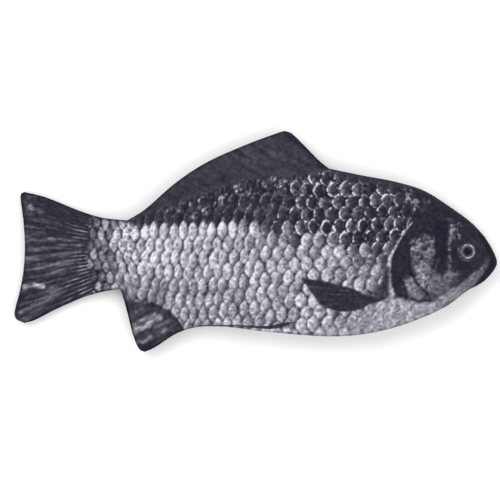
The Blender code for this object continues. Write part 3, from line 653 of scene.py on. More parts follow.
def head(x, y, value):
    """Gill cover, cheek, throat, mouth, snout and nape."""
    grain = speckle(x, y, 0.9, 71) * 7 + speckle(x, y, 3.0, 72) * 5
    skin = 37 + grain
    # The gill cover's rear is dark, and its middle is a netted light patch.
    ragged_x = x + speckle(x, y, 1.7, 70) * 1.3
    plate = patch(ragged_x, y, PLATE, 1.2)
    net = veins(x * 1.15, y * 0.9, 1.7, 73)
    high = blend_in(-9.0, -1.0, y)
    low_lobe = blend_in(-8.0, -14.0, y)
    fleece = np.clip(cloud(x, y, 1.0, 68) * 1.9 - 0.55, 0.0, 1.0)
    plate_tone = 56 + (net * 0.5 + fleece * 0.7) * (66 + high * 40) + low_lobe * 44
    plate_tone = plate_tone + speckle(x, y, 0.9, 74) * 34
    skin = mix(skin, plate_tone, plate * 0.95)
    # Lower gill cover: light and streaked, swept by a dark arc.
    lobe = patch(ragged_x, y + speckle(x, y, 1.9, 69) * 0.8, LOBE, 1.5)
    streaked = speckle((x + y) * 0.3, x - y, 0.9, 75) * 34
    skin = mix(skin, 130 + streaked + grain * 1.4, lobe * 0.92)
    # Cheek: mottled, from behind the mouth to under the eye.
    cheek = patch(ragged_x, y, CHEEK, 1.6)
    mottle = 94 + speckle(x, y, 1.5, 76) * 34 + veins(x, y, 2.0, 77) * 26
    skin = mix(skin, mottle, cheek * 0.85)
    # Throat and jaw: pale, narrowing up towards the mouth.
    jawline = through((62.0, 72.0, 79.0, 84.0, 88.0, 93.0, 98.0, 101.0, 104.0, 106.0),
                      (-25.4, -27.0, -26.8, -24.0, -21.6, -19.2, -15.4, -12.8, -9.6, -6.0), x)
    throat = blend_in(-1.4, 1.4, jawline - y + speckle(x, y, 2.0, 78) * 0.8)
    pale = through((60, 72, 84, 92, 98, 103, 106), (162, 156, 141, 128, 116, 94, 60), x)
    pale = pale + speckle(x, y, 1.6, 79) * 13 + grain * 0.7
    below = blend_in(4.2, 8.0, jawline - y) * blend_in(84.0, 92.0, x)
    skin = mix(skin, pale - below * 34, throat)
    # The mouth's corner, and the black front of the snout and lips.
    mouth = stroke(x, y, ((89.5, -19.6), (92.4, -17.6), (95.4, -15.0)), 1.5, 1.4)
    skin = mix(skin, 40, mouth * 0.75)
    snout_front = through((-20.0, -17.0, -13.0, -9.0, -4.0, 2.0),
                          (100.0, 102.2, 105.3, 106.8, 105.4, 102.0), y)
    skin = mix(skin, 19 + grain * 0.5, blend_in(-1.5, 0.9, x - snout_front))
    # Dark zone between the gill cover's patch and the dashed column.
    dusk = patch(x, y, ((81.0, 9.0), (87.0, 9.0), (87.3, -8.0), (83.5, -11.0), (81.6, -4.0)), 1.0)
    skin = mix(skin, 29 + grain * 0.7, dusk * 0.9)
    # Dashed light column and cluster behind the eye.
    column = stroke(x, y, ((89.4, 8.0), (88.2, 2.0), (87.7, -4.0), (87.9, -11.5)), 1.1, 0.9)
    dashes = np.clip(cloud(x, y * 1.3, 1.2, 80) * 2.4 - 0.75, 0.0, 1.0)
    skin = skin + column * dashes * (60 + 70 * cloud(x, y, 2.2, 81))
    cluster = patch(ragged_x, y, ((87.4, 10.5), (93.0, 8.5), (93.2, 1.5), (89.0, 0.5)), 1.2)
    skin = skin + cluster * (veins(x, y, 1.4, 82) * 88 + np.clip(speckle(x, y, 0.9, 83), 0, 1) * 60)
    # Snout: a shade lighter round the nostril.
    snout = patch(x, y, ((97.0, 1.0), (101.0, 2.0), (103.5, -3.0), (103.0, -8.0), (100.0, -10.0)), 2.5)
    skin = skin + snout * (11 + speckle(x, y, 1.3, 86) * 9)
    value = mix(value, np.clip(skin, 16, 235), head_mask(x, y))
    nape = patch(ragged_x, y, NAPE, 1.8)
    sparks = np.clip(cloud(x, y, 0.9, 84) * 3.0 - 1.5, 0.0, 1.0) + veins(x, y, 1.3, 67) * 0.35
    value = value + nape * sparks * np.clip(cloud(x, y, 3.0, 85) * 2.2 - 0.5, 0.0, 1.0) * 96
    for path, width, gain in HEAD_LINES:
        value = value + stroke(x, y + speckle(x, y, 2.4, 87) * 0.3, path, width, 0.5) * gain
    # The gill opening: dark in front and behind, with a bright edge that widens.
    shadow = stroke(x, y, [(a + 2.0, b - 0.4) for a, b in GILL], 2.6, 1.8)
    value = mix(value, 38 + grain * 0.6, shadow * 0.8 * (y < 6.0))
    behind = stroke(x, y, [(a - 2.0, b) for a, b in GILL[2:]], 1.2, 1.4)
    value = mix(value, 56, behind * 0.6)
    gap, along = away_from(x + speckle(x, y, 2.5, 88) * 0.22, y, GILL)
    width = through((0.0, 0.4, 0.6, 0.8, 1.0), (0.34, 0.64, 1.15, 1.40, 1.7), along)
    edge = blend_in(width, width * 0.35, gap) * blend_in(-0.02, 0.05, along)
    gleam = 128 + cloud(x, y, 0.9, 89) * 100
    value = mix(value, gleam, edge * (0.74 + 0.26 * cloud(x, y, 2.4, 90)))
    fold = stroke(x, y, ((60.8, -24.0), (63.5, -26.5), (66.8, -27.5)), 1.8, 1.6)
    return mix(value, 166 + grain * 2.5, fold * 0.6)


EYE = (96.2, -4.5)
PUPIL_RADIUS = 1.75


def eye(x, y, value):
    """Dark socket, bright ring, iris and pupil with a glint."""
    dx = x - EYE[0]
    dy = y - EYE[1]
    gap = np.hypot(dx, dy) + speckle(x, y, 1.3, 95) * 0.12
    turn = np.arctan2(dy, dx)
    socket = blend_in(6.0, 3.4, gap)
    value = mix(value, 42 + speckle(x, y, 0.9, 96) * 6, socket * 0.75)
    outer = np.exp(-((gap - 4.3) / 0.32) ** 2) * blend_in(-0.1, 0.8, np.cos(turn + 2.5))
    value = value + outer * 70 * (0.4 + 0.8 * cloud(x, y, 1.0, 97))
    value = mix(value, 88, blend_in(3.3, 2.9, gap))
    ring = np.exp(-((gap - 2.95) / 0.36) ** 2)
    lit = 0.55 + 0.45 * np.cos(turn + 0.4)
    value = mix(value, 178 + cloud(x, y, 0.9, 98) * 40, ring * (0.4 + 0.55 * lit))
    iris = np.exp(-((gap - 2.25) / 0.28) ** 2)
    value = mix(value, 66, iris * 0.7)
    value = mix(value, 18, blend_in(PUPIL_RADIUS + 0.25, PUPIL_RADIUS - 0.2, gap))
    glint = np.exp(-(((dx - 0.6) / 0.45) ** 2 + ((dy - 0.9) / 0.35) ** 2))
    return value + glint * 46


DARKEST = 17.0              # grey of the print's deepest black


def grey_value(x, y):
    """The print's display grey, 0 to 255, at points on the flat panel."""
    value = scales(x, y)
    # The back ends in shadow, and the nape's scales sink into it.
    crest = edge_height(DORSAL_RUNS, x)
    value = mix(value, 46, blend_in(6.5, 1.0, crest - y) * blend_in(30.0, 38.0, x) * 0.85)
    nape = blend_in(62.0, 72.0, x - (12.0 - y) * 0.3) * blend_in(2.0, 9.0, y)
    value = mix(value, 34 + speckle(x, y, 1.2, 91) * 14, nape * 0.9)
    # Belly and breast: the scales fade into pale, wrinkled skin.
    grain = speckle(x, y, 1.0, 92) * 14 + veins(x, y, 3.4, 93) * 16
    belly = blend_in(-34.0, -39.0, y) * blend_in(22.0, 42.0, x)
    value = mix(value, 146 + grain, belly * 0.66)
    breast = patch(x, y, ((46.0, -33.0), (50.0, -29.6), (60.0, -27.0), (72.0, -30.0), (78.0, -33.0),
                          (60.0, -42.0), (44.0, -44.0)), 2.0)
    value = mix(value, 154 + grain + speckle(x, y, 4.0, 94) * 10, breast * 0.75)
    value = root_of_tail(x, y, value)
    value = tail_fin(x, y, value)
    value = dorsal_fin(x, y, value)
    value = anal_fin(x, y, value)
    value = pelvic_fin(x, y, value)
    value = head(x, y, value)
    value = pectoral_fin(x, y, value)
    value = eye(x, y, value)
    # The print's own grit, which is stronger on the body than on the tail and dorsal fin.
    dorsal = blend_in(-1.0, 1.0, y - through(DORSAL_FOOT_X, DORSAL_FOOT_Y, x))
    fins = np.maximum(blend_in(-68.0, -78.0, x), dorsal)
    grit = speckle(x, y, 1.5, 101) * 0.18 + speckle(x, y, 0.85, 102) * 0.37
    grit = grit + speckle(x, y, 3.0, 103) * 0.07
    return np.clip(value * (1.0 + grit * (1.0 - 0.25 * fins)), DARKEST, 246.0)


def seam_shade(x, y, inward):
    """Share of the print's light left near the seam, where the cloth rolls under."""
    low, high = padded_limits(x)
    upper = blend_in(-12.0, 4.0, y - (low + high) / 2 + blend_in(80.0, 100.0, x) * 8.0)
    fin = np.maximum(blend_in(-1.0, 1.0, y - high), blend_in(-1.0, 1.0, low - y))
    tail = blend_in(-60.0, -70.0, x)
    dark = np.maximum(np.maximum(upper, fin), tail)
    return 1.0 - (0.12 + 0.34 * dark) * np.exp(-(inward / 0.8) ** 2)


# ------------------------------------------------------------------- materials
class Nodes:
    """A material's node tree, with short calls to add and join nodes."""

    def __init__(self, name, roughness, metallic=0.0):
        self.material = bpy.data.materials.new(name)
        self.material.use_nodes = True
        self.tree = self.material.node_tree
        self.shader = self.tree.nodes["Principled BSDF"]
        self.shader.inputs["Roughness"].default_value = roughness
        self.shader.inputs["Metallic"].default_value = metallic

    def add(self, kind, inputs=(), **settings):
        """New node with its settings, and inputs given by name or number."""
        node = self.tree.nodes.new("ShaderNode" + kind)
        for key, value in settings.items():
            setattr(node, key, value)
        for key, value in dict(inputs).items():
            self.feed(node.inputs[key], value)
        return node

    def feed(self, socket, value):
        """Join a socket to another node's output, or set its constant."""
        if isinstance(value, bpy.types.NodeSocket):
            self.tree.links.new(value, socket)
        else:
            socket.default_value = value

    def math(self, operation, first, second=0.0, third=0.0):
        """Result of a Math node."""
        sockets = {0: first, 1: second, 2: third}
        return self.add("Math", sockets, operation=operation).outputs[0]

    def noise(self, where, size, detail=2.0, roughness=0.5):
        """Noise from 0 to 1 with features of a size in millimetres."""
        scale = 1.0 / (size * MM)
        inputs = {"Vector": where, "Scale": scale, "Detail": detail, "Roughness": roughness}
        return self.add("TexNoise", inputs).outputs[0]

    def ranged(self, value, low, high, start=0.0, end=1.0):
        """value from start..end mapped to low..high."""
        inputs = {"Value": value, "From Min": start, "From Max": end, "To Min": low, "To Max": high}
        return self.add("MapRange", inputs).outputs[0]

    def ridges(self, coordinate, pitch):
        """Rounded ridges of a pitch in millimetres, from 0 to 1."""
        turns = self.math("MULTIPLY", coordinate, math.pi / (pitch * MM))
        return self.math("ABSOLUTE", self.math("SINE", turns))

    def where(self):
        """World position, for what never moves."""
        return self.add("NewGeometry").outputs["Position"]

    def place(self):
        """Object coordinates, which stay with the piece as it moves."""
        return self.add("TexCoord").outputs["Object"]

    def named(self, attribute, output):
        """One of the mesh's own attributes."""
        return self.add("Attribute", attribute_name=attribute).outputs[output]

    def two_tone(self, share, dark, light):
        """Colour between two, by a share from 0 to 1."""
        node = self.add("Mix", {0: share, 6: (*dark, 1.0), 7: (*light, 1.0)}, data_type="RGBA")
        return node.outputs[2]

    def bump(self, height, distance, strength, before=None):
        """Normal for a height over a distance in millimetres, on top of the one before."""
        inputs = {"Height": height, "Distance": distance * MM, "Strength": strength}
        node = self.add("Bump", inputs)
        if before:
            self.feed(node.inputs["Normal"], before)
        return node.outputs[0]

    def finish(self, color=None, roughness=None, normal=None):
        """Join what is given to the shader, and hand the material over."""
        for socket, value in (("Base Color", color), ("Roughness", roughness), ("Normal", normal)):
            if value is not None:
                self.feed(self.shader.inputs[socket], value)
        return self.material


WEAVE_PITCH = 0.42          # of the printed polyester's threads
LINING_PITCH = 0.5          # of the lining's threads
PRINT_TINT = (0.98, 0.97, 1.085)    # of the print's greys, in red, green and blue
PRINT_BASE = (0.0, 0.0, 0.008)      # the ink's blue, which is left in its blacks
PRINT_GAIN = 0.74           # lets the lit print come out at the print's own greys
WEAVE_TURN = 0.35           # of the thread's height that its over and under adds
# Each piece's dark and light colour.
LINING_GREY = ((0.045, 0.047, 0.058), (0.120, 0.124, 0.145))
# The tape's dark is painted shade in its furrows, and its light is painted light on its ribs' tops.
TAPE_BLACK = ((0.014, 0.014, 0.017), (0.085, 0.085, 0.098))
NYLON_BLACK = ((0.010, 0.010, 0.012), (0.034, 0.034, 0.040))
# The thread's dark is painted shade between its plies, and its light is painted light on the plies'
# tops.
THREAD_BLACK = ((0.020, 0.020, 0.025), (0.070, 0.070, 0.080))
GUNMETAL = ((0.025, 0.025, 0.028), (0.135, 0.135, 0.145))
STEEL = ((0.16, 0.16, 0.17), (0.42, 0.42, 0.44))


def weave_height(nodes, across, along, pitch):
    """Plain weave from two directions of thread, each over then under."""
    half_turn_across = nodes.math("MULTIPLY", across, math.pi / (pitch * MM))
    half_turn_along = nodes.math("MULTIPLY", along, math.pi / (pitch * MM))
    checker = nodes.math("MULTIPLY", nodes.math("SINE", half_turn_across),
                         nodes.math("SINE", half_turn_along))
    threads = nodes.math("MAXIMUM", nodes.ridges(across, pitch), nodes.ridges(along, pitch))
    return nodes.math("MULTIPLY_ADD", checker, WEAVE_TURN, threads)


def printed_cloth(name):
    """Polyester whose print is read from the mesh's shade attribute."""
    nodes = Nodes(name, 0.7)
    nodes.shader.inputs["Sheen Weight"].default_value = 0.02
    nodes.shader.inputs["Sheen Roughness"].default_value = 0.4
    nodes.shader.inputs["Specular IOR Level"].default_value = 0.10
    place = nodes.place()
    split = nodes.add("SeparateXYZ", {"Vector": place})
    fine = nodes.noise(place, 0.55, 3.0, 0.65)
    soft = nodes.noise(place, 2.4, 2.0)
    ink = nodes.math("MULTIPLY", nodes.ranged(fine, 0.74, 1.26), nodes.ranged(soft, 0.95, 1.05))
    shade = nodes.math("MULTIPLY", nodes.named("shade", "Fac"), ink)
    shade = nodes.math("MULTIPLY", shade, PRINT_GAIN)
    grey = nodes.add("CombineXYZ", {0: shade, 1: shade, 2: shade}).outputs[0]
    tinting = {0: grey, 1: PRINT_TINT, 2: PRINT_BASE}
    tint = nodes.add("VectorMath", tinting, operation="MULTIPLY_ADD").outputs[0]
    weave = weave_height(nodes, split.outputs["X"], split.outputs["Y"], WEAVE_PITCH)
    fuzz = nodes.noise(place, 0.3, 2.0, 0.6)
    normal = nodes.bump(weave, 0.05, 0.35)
    normal = nodes.bump(nodes.noise(place, 1.6, 3.0), 0.12, 0.35, normal)
    return nodes.finish(tint, nodes.ranged(fuzz, 0.58, 0.82), normal)


def lining_weave(name):
    """Woven cloth of one colour, with slubs and a little fading."""
    nodes = Nodes(name, 0.8)
    nodes.shader.inputs["Sheen Weight"].default_value = 0.2
    nodes.shader.inputs["Sheen Roughness"].default_value = 0.4
    place = nodes.place()
    split = nodes.add("SeparateXYZ", {"Vector": place})
    weave = weave_height(nodes, split.outputs["X"], split.outputs["Y"], LINING_PITCH)
    slub = nodes.noise(place, 1.1, 3.0, 0.6)
    faded = nodes.noise(place, 18.0, 2.0)
    share = nodes.math("MULTIPLY_ADD", faded, 0.45, nodes.math("MULTIPLY", slub, 0.55))
    color = nodes.two_tone(share, *LINING_GREY)
    normal = nodes.bump(weave, 0.06, 0.5)
    normal = nodes.bump(slub, 0.1, 0.3, normal)
    return nodes.finish(color, nodes.ranged(slub, 0.68, 0.92), normal)


def tape_weave(name):
    """Herringbone tape, read from how far along and across the tape a point is."""
    nodes = Nodes(name, 0.85)
    nodes.shader.inputs["Sheen Weight"].default_value = 0.1
    split = nodes.add("SeparateXYZ", {"Vector": nodes.named("on_tape", "Vector")})
    along = split.outputs["X"]
    across = split.outputs["Y"]
    folded = nodes.math("PINGPONG", across, 1.1 * MM)
    slanted = nodes.math("ADD", along, folded)
    rib = nodes.ridges(slanted, 0.5)
    column = nodes.ridges(across, 0.55)
    height = nodes.math("MULTIPLY_ADD", column, 0.5, rib)
    slub = nodes.noise(nodes.named("on_tape", "Vector"), 0.7, 3.0, 0.6)
    # Painted shade and light: the colour follows the ribs' height, darker in the furrows and lighter on
    # the tops, and also varies with the slubs.
    share = nodes.math("MULTIPLY", height, nodes.ranged(slub, 0.3, 0.9))
    color = nodes.two_tone(share, *TAPE_BLACK)
    return nodes.finish(color, nodes.ranged(slub, 0.75, 0.95), nodes.bump(height, 0.1, 0.6))


def nylon(name):
    """Black nylon monofilament, a little uneven from drawing."""
    nodes = Nodes(name, 0.4)
    place = nodes.place()
    drawn = nodes.noise(place, 0.6, 2.0)
    color = nodes.two_tone(drawn, *NYLON_BLACK)
    return nodes.finish(color, nodes.ranged(drawn, 0.3, 0.5), nodes.bump(drawn, 0.03, 0.3))


def thread(name):
    """Twisted black sewing thread."""
    nodes = Nodes(name, 0.6)
    place = nodes.place()
    split = nodes.add("SeparateXYZ", {"Vector": place})
    twist = nodes.math("ADD", split.outputs["X"], split.outputs["Z"])
    ply = nodes.ridges(twist, 0.22)
    fuzz = nodes.noise(place, 0.35, 2.0)
    # Painted shade and light: the colour is darker in the grooves between the plies and lighter on
    # their tops, and also varies with the fuzz.
    share = nodes.math("MULTIPLY", ply, nodes.ranged(fuzz, 0.5, 1.1))
    color = nodes.two_tone(share, *THREAD_BLACK)
    return nodes.finish(color, nodes.ranged(fuzz, 0.5, 0.75), nodes.bump(ply, 0.05, 0.6))


def worn_metal(name, dark, light):
    """Plated zinc: brushed along its length, paler where it has worn."""
    nodes = Nodes(name, 0.3, 1.0)
    place = nodes.place()
    stretch = nodes.add("Mapping", {"Vector": place, "Scale": (0.25, 1.0, 2.0)}).outputs[0]
    brushed = nodes.noise(stretch, 0.5, 3.0, 0.6)
    blotch = nodes.noise(place, 2.5, 3.0, 0.6)
    worn = nodes.ranged(blotch, 0.0, 1.0, 0.35, 0.75)
    share = nodes.math("MULTIPLY_ADD", brushed, 0.35, nodes.math("MULTIPLY", worn, 0.6))
    color = nodes.two_tone(share, dark, light)
    normal = nodes.bump(brushed, 0.02, 0.35)
    normal = nodes.bump(blotch, 0.08, 0.15, normal)
    return nodes.finish(color, nodes.ranged(brushed, 0.22, 0.42), normal)


# ------------------------------------------------------------- the printed panels
PRINT_PITCH = 0.5           # of the mesh that carries the print
COARSE = 3                  # the inside is coarser by this factor
EDGE_ROLL = 1.1             # how far in from the seam the cloth turns over
PANEL_ROW_STEPS = 165
ROW_CROWDING = 0.4          # how far the rows crowd towards the two edges
TAIL_BOW = 5                # how fast each end's curved edge evens out inwards
NOSE_BOW = 12
UV_SPAN = 224.0             # millimetres across the whole texture square
OUTER_CORNER = (112.0, 52.0)        # what brings each skin into that square
INNER_CORNER = (112.0, 164.0)
INSIDE_GREY_KEPT = 0.85          # share of the print's grey kept on the panel's inside, which comes out darker there


def panel_stations():
    """Column stations along X, with one at each corner of the outline."""
    corners = sorted({run[end][0] for run in DORSAL_RUNS + BELLY_RUNS for end in (0, -1)})
    stations = [corners[0]]
    for first, second in zip(corners, corners[1:]):
        steps = COARSE * max(round((second - first) / PRINT_PITCH / COARSE), 1)
        stations += [first + (second - first) * step / steps for step in range(1, steps + 1)]
    return np.array(stations)


def panel_plan():
    """Plan positions of the panels' points, row by row from belly to back."""
    stations = panel_stations()
    share = np.linspace(0.0, 1.0, len(stations))[None, :]
    v = np.linspace(0.0, 1.0, PANEL_ROW_STEPS + 1)[:, None]
    row = mix(v, (1 - np.cos(np.pi * v)) / 2, ROW_CROWDING)
    x = stations[None, :] + 0.0 * row
    low = edge_height(BELLY_RUNS, stations)[None, :]
    high = edge_height(DORSAL_RUNS, stations)[None, :]
    y = mix(low, high, row)
    for path, weight in ((TAIL_EDGE, (1 - share) ** TAIL_BOW), (NOSE_EDGE, share ** NOSE_BOW)):
        bow_x, bow_y = along_path(path, row)
        x = x + (bow_x - mix(path[0][0], path[-1][0], row)) * weight
        y = y + (bow_y - mix(path[0][1], path[-1][1], row)) * weight
    return x, y


def swell(x, y, inward):
    """Unevenness of the padded body's cloth, which both skins share, in mm."""
    broad = speckle(x, y, 34.0, 201) * 0.55 + speckle(x, y, 13.0, 202) * 0.16
    pull = speckle(x * 1.2, y * 0.25, 4.6, 203) * 0.30 * np.exp(-inward / 5.0)
    return (broad * bulge(x, y) + pull) * blend_in(0.0, 4.0, inward)


def ripple(x, y):
    """How far the flat fins wave up and down, in mm."""
    tail = blend_in(-58.0, -80.0, x) * np.sin(y * 0.16 + x * 0.05 + 0.6) * 0.7
    low, high = padded_limits(x)
    fin = blend_in(0.0, 6.0, y - high) + blend_in(0.0, 6.0, low - y)
    return tail + fin * (speckle(x, y, 17.0, 204) * 0.7)


def panel_points(x, y, inward, is_front, is_outer):
    """Points of one skin of a panel in millimetres."""
    ease = swell(x, y, inward)
    ease = ease + ripple(x, y) * (1 if is_front else -1)
    if is_outer:
        turn = np.clip(inward / EDGE_ROLL, 0.0, 1.0)
        rim = PANEL_THICKNESS * np.sqrt(1.0 - (1.0 - turn) ** 2)
        z = skin_height(x, y, is_front, 0.0, rim, SLOT_HALF_WIDTH, 0.0, 0.0, ease)
    else:
        z = inner_skin(x, y, is_front, ease)
    return np.stack([x, y, z], -1).reshape(-1, 3)


def panel_texture_points(x, y, x_inside, y_inside, ring):
    """Texture places of the outer skin, the inner skin and the rolled wall."""
    outer = (np.stack([x.ravel(), y.ravel()], -1) + OUTER_CORNER) / UV_SPAN
    inner = (np.stack([x_inside.ravel(), y_inside.ravel()], -1) + INNER_CORNER) / UV_SPAN
    ahead = np.roll(ring, -COARSE, 0) - np.roll(ring, COARSE, 0)
    outward = np.stack([ahead[:, 1], -ahead[:, 0]], -1)
    outward = outward / np.linalg.norm(outward, axis=1)[:, None]
    wall = (ring + outward + OUTER_CORNER)[::COARSE] / UV_SPAN
    return outer, inner, wall


def add_panel(name, plan, inward, shades, is_front):
    """One printed panel: a dense outer skin, a coarser inside and a rolled edge."""
    x, y = plan
    rows, columns = x.shape
    every = slice(None, None, COARSE)
    x_inside = x[every, every]
    y_inside = y[every, every]
    inside_rows, inside_columns = x_inside.shape
    outer = panel_points(x, y, inward, is_front, True)
    inner = panel_points(x_inside, y_inside, inward[every, every], is_front, False)
    first_inside = len(outer)
    outer_faces = grid_faces(rows, columns)
    inner_faces = grid_faces(inside_rows, inside_columns, first_inside)
    outer_ring = border(rows, columns)
    inner_ring = border(inside_rows, inside_columns, first_inside)
    wall_faces = []
    for step, a in enumerate(inner_ring):
        b = inner_ring[(step + 1) % len(inner_ring)]
        p = [outer_ring[(COARSE * step + k) % len(outer_ring)] for k in range(COARSE + 1)]
        wall_faces += [(p[0], p[1], a), (p[1], p[2], b, a), (p[2], p[3], b)]
    faces = outer_faces + [tuple(int(i) for i in face) for face in wall_faces] + inner_faces
    thing = add_object(name, np.concatenate([outer, inner]), faces)
    # The inside carries the same print, made darker by a fixed share.
    inside_shades = shades[every, every] * INSIDE_GREY_KEPT
    set_shades(thing, np.concatenate([shades.ravel(), inside_shades.ravel()]))

    ring = np.stack([x.ravel()[outer_ring], y.ravel()[outer_ring]], -1)
    outer_uv, inner_uv, wall_uv = panel_texture_points(x, y, x_inside, y_inside, ring)
    mesh = thing.data
    corners = np.empty(len(mesh.loops), int)
    mesh.loops.foreach_get("vertex_index", corners)
    starts = np.empty(len(mesh.polygons), int)
    mesh.polygons.foreach_get("loop_start", starts)
    wall_start = starts[len(outer_faces)]
    wall_end = starts[len(outer_faces) + len(wall_faces)]
    texture = np.concatenate([outer_uv, inner_uv])[corners]
    on_wall = np.zeros((first_inside + len(inner), 2))
    on_wall[:first_inside] = outer_uv
    on_wall[inner_ring] = wall_uv
    texture[wall_start:wall_end] = on_wall[corners[wall_start:wall_end]]
    layer = mesh.uv_layers.new(name="OFBake")
    layer.data.foreach_set("uv", texture.astype(np.float32).ravel())
    return thing


# ------------------------------------------------------------------ the lining bag
LINING_COLUMN_STEPS = 150
LINING_ROW_STEPS = 60


def lining_points(is_front, is_outer):
    """Points of one skin of a lining half, which hangs a little slack."""
    s = np.linspace(0.0, 1.0, LINING_COLUMN_STEPS + 1)[None, :]
    v = np.linspace(0.0, 1.0, LINING_ROW_STEPS + 1)[:, None]
    x = LINING_REAR + (LINING_FRONT - LINING_REAR) * s + 0.0 * v
    low, high = padded_limits(x)
    inset_low, inset_high = lining_insets(x)
    y = mix(low + inset_low, high - inset_high, (1 - np.cos(np.pi * v)) / 2)
    inward = np.minimum(np.minimum(y - low - inset_low, high - inset_high - y),
                        np.minimum(x - LINING_REAR, LINING_FRONT - x))
    slack = cloud(x * 0.7, y, 15.0, 211) * 0.9 + cloud(x, y * 0.6, 6.0, 212) * 0.4
    ease = -slack * blend_in(0.0, 9.0, inward) * bulge(x, y)
    depth = PANEL_THICKNESS + LINING_CLEARANCE
    rim = LINING_THICKNESS
    if not is_outer:
        depth += LINING_THICKNESS
        rim = 0.0
        inset_low = inset_low + LINING_THICKNESS
        inset_high = inset_high + LINING_THICKNESS
    z = skin_height(x, y, is_front, depth, rim, MOUTH_HALF_WIDTH, inset_low, inset_high, ease)
    return np.stack([x, y, z], -1).reshape(-1, 3)


def add_slab(name, outer, inner, rows, columns):
    """Closed slab between two skins with the same rows and columns of points."""
    faces = grid_faces(rows, columns) + grid_faces(rows, columns, len(outer))
    ring = border(rows, columns)
    for a, b in zip(ring, np.roll(ring, -1)):
        faces.append((int(a), int(b), int(b) + len(outer), int(a) + len(outer)))
    return add_object(name, np.concatenate([outer, inner]), faces)


# ------------------------------------------------------------------------ the zip
TAPE_COLUMN_STEPS = 220
TAPE_ROW_STEPS = 14
TAPE_REAR_TAIL = 7.2        # degrees that the tapes run on past the zip's ends
TAPE_FRONT_TAIL = 3.2
TAPE_CLOSING = 1.2          # degrees over which they then close in on each other
TAPE_LEAST = 0.3            # the narrowest that a tape's tail gets
TAPE_HEM = 0.7              # of its thickness that a tape keeps at its edges
SPREAD_START = on_arc(SLIDER_PARKED - SLIDER_TRAVEL, ARC_RADIUS)[0] + SLIDER_LENGTH * 0.6
SPREAD_LENGTH = 34.0        # over which the open zip's halves part, along X
OPEN_CLEARANCE = 1.2        # of a tape from its panel as the zip opens
LIP_SLIDES = {True: (5.2, 3.9), False: (6.37, -1.3)}   # Y and Z, as the lips' joints slide
COIL_PITCH = 1.25
COIL_WIRE = 0.17            # radius of the nylon wire
COIL_SPREAD = 0.62          # half width of a coil, across the zip
COIL_DEPTH = 0.46           # half depth of a coil
COIL_OFFSET = 0.66          # of a coil's middle from the seam plane
COIL_FRONT_END = 0.06       # of the slider's length ahead of its middle
RINGS_PER_TURN = 14
WIRE_SIDES = 6
STITCH_PITCH = 1.9
STITCH_LENGTH = 1.3
STITCH_RADIUS = 0.17
STITCH_ROW_OFFSET = 0.5     # of the first row from the coils
STITCH_ROW_GAP = 0.75
STITCH_RAISE = 0.4          # of a stitch's radius, from the tape to its middle
OFF_STITCHES = (0.31, 0.2, 0.93)    # a direction that no stitch lies along
STITCH_SHAPE = (            # place along a stitch, and width there
    (-0.5, 0.45), (-0.32, 0.95), (0.0, 1.1), (0.32, 0.95), (0.5, 0.45),
)


def lip_share(x):
    """How much of its lip's slide a point of the zip takes when the zip opens."""
    return blend_in(SPREAD_START, SPREAD_START + SPREAD_LENGTH, x)


def tape_reach(x, y, is_front):
    """Height of a tape's sewn edge: inside its panel both at rest and slid open."""
    sign = 1 if is_front else -1
    slide_y, slide_z = LIP_SLIDES[is_front]
    share = lip_share(x)
    reaches = []
    for part, clearance in ((0.0, TAPE_CLEARANCE), (0.5, OPEN_CLEARANCE), (1.0, OPEN_CLEARANCE)):
        inside = inner_skin(x, y + slide_y * share * part, is_front)
        reaches.append(inside - slide_z * share * part - sign * clearance)
    return np.minimum.reduce(reaches) if is_front else np.maximum.reduce(reaches)


def tape_points(is_front, is_outer):
    """One face of a tape, and how far along and across the tape each point is."""
    sign = 1 if is_front else -1
    rear_end = ZIP_START - TAPE_REAR_TAIL
    front_end = ZIP_END + TAPE_FRONT_TAIL
    angle = np.linspace(rear_end, front_end, TAPE_COLUMN_STEPS + 1)[None, :]
    v = np.linspace(0.0, 1.0, TAPE_ROW_STEPS + 1)[:, None]
    reaches = []
    for radius in (ARC_RADIUS - TAPE_THICKNESS / 2, ARC_RADIUS + TAPE_THICKNESS / 2):
        reaches.append(tape_reach(*on_arc(angle, radius), is_front))
    sewn = np.minimum(*reaches) if is_front else np.maximum(*reaches)
    # Past its stops a tape closes in on its partner, edge to edge.
    overhang = degrees_round(STOP_LENGTH + 2 * GAP)
    rear = blend_in(ZIP_START - overhang, ZIP_START - overhang - TAPE_CLOSING, angle)
    front = blend_in(ZIP_END + overhang, ZIP_END + overhang + TAPE_CLOSING, angle)
    chain_edge = sign * mix(CHAIN_HALF_WIDTH, GAP / 2, np.maximum(rear, front))
    wide = np.maximum(sign * (sewn - SEAM_HEIGHT), sign * chain_edge + TAPE_LEAST)
    sewn = SEAM_HEIGHT + sign * wide
    z = mix(SEAM_HEIGHT + chain_edge, sewn, v)
    half = TAPE_THICKNESS / 2 * np.where((v == 0) | (v == 1), TAPE_HEM, 1.0)
    x, y = on_arc(angle, ARC_RADIUS + (half if is_outer else -half))
    points = np.stack([x, y, z], -1).reshape(-1, 3)
    along = np.radians(angle) * ARC_RADIUS + 0.0 * v
    return points, np.stack([along, z, 0.0 * z], -1).reshape(-1, 3) * MM


def add_tape(name, is_front):
    """One woven tape, which keeps each point's place along and across it."""
    outer, on_tape = tape_points(is_front, True)
    inner = tape_points(is_front, False)[0]
    thing = add_slab(name, outer, inner, TAPE_ROW_STEPS + 1, TAPE_COLUMN_STEPS + 1)
    layer = thing.data.attributes.new("on_tape", "FLOAT_VECTOR", "POINT")
    layer.data.foreach_set("vector", np.concatenate([on_tape, on_tape]).astype(np.float32).ravel())
    return thing


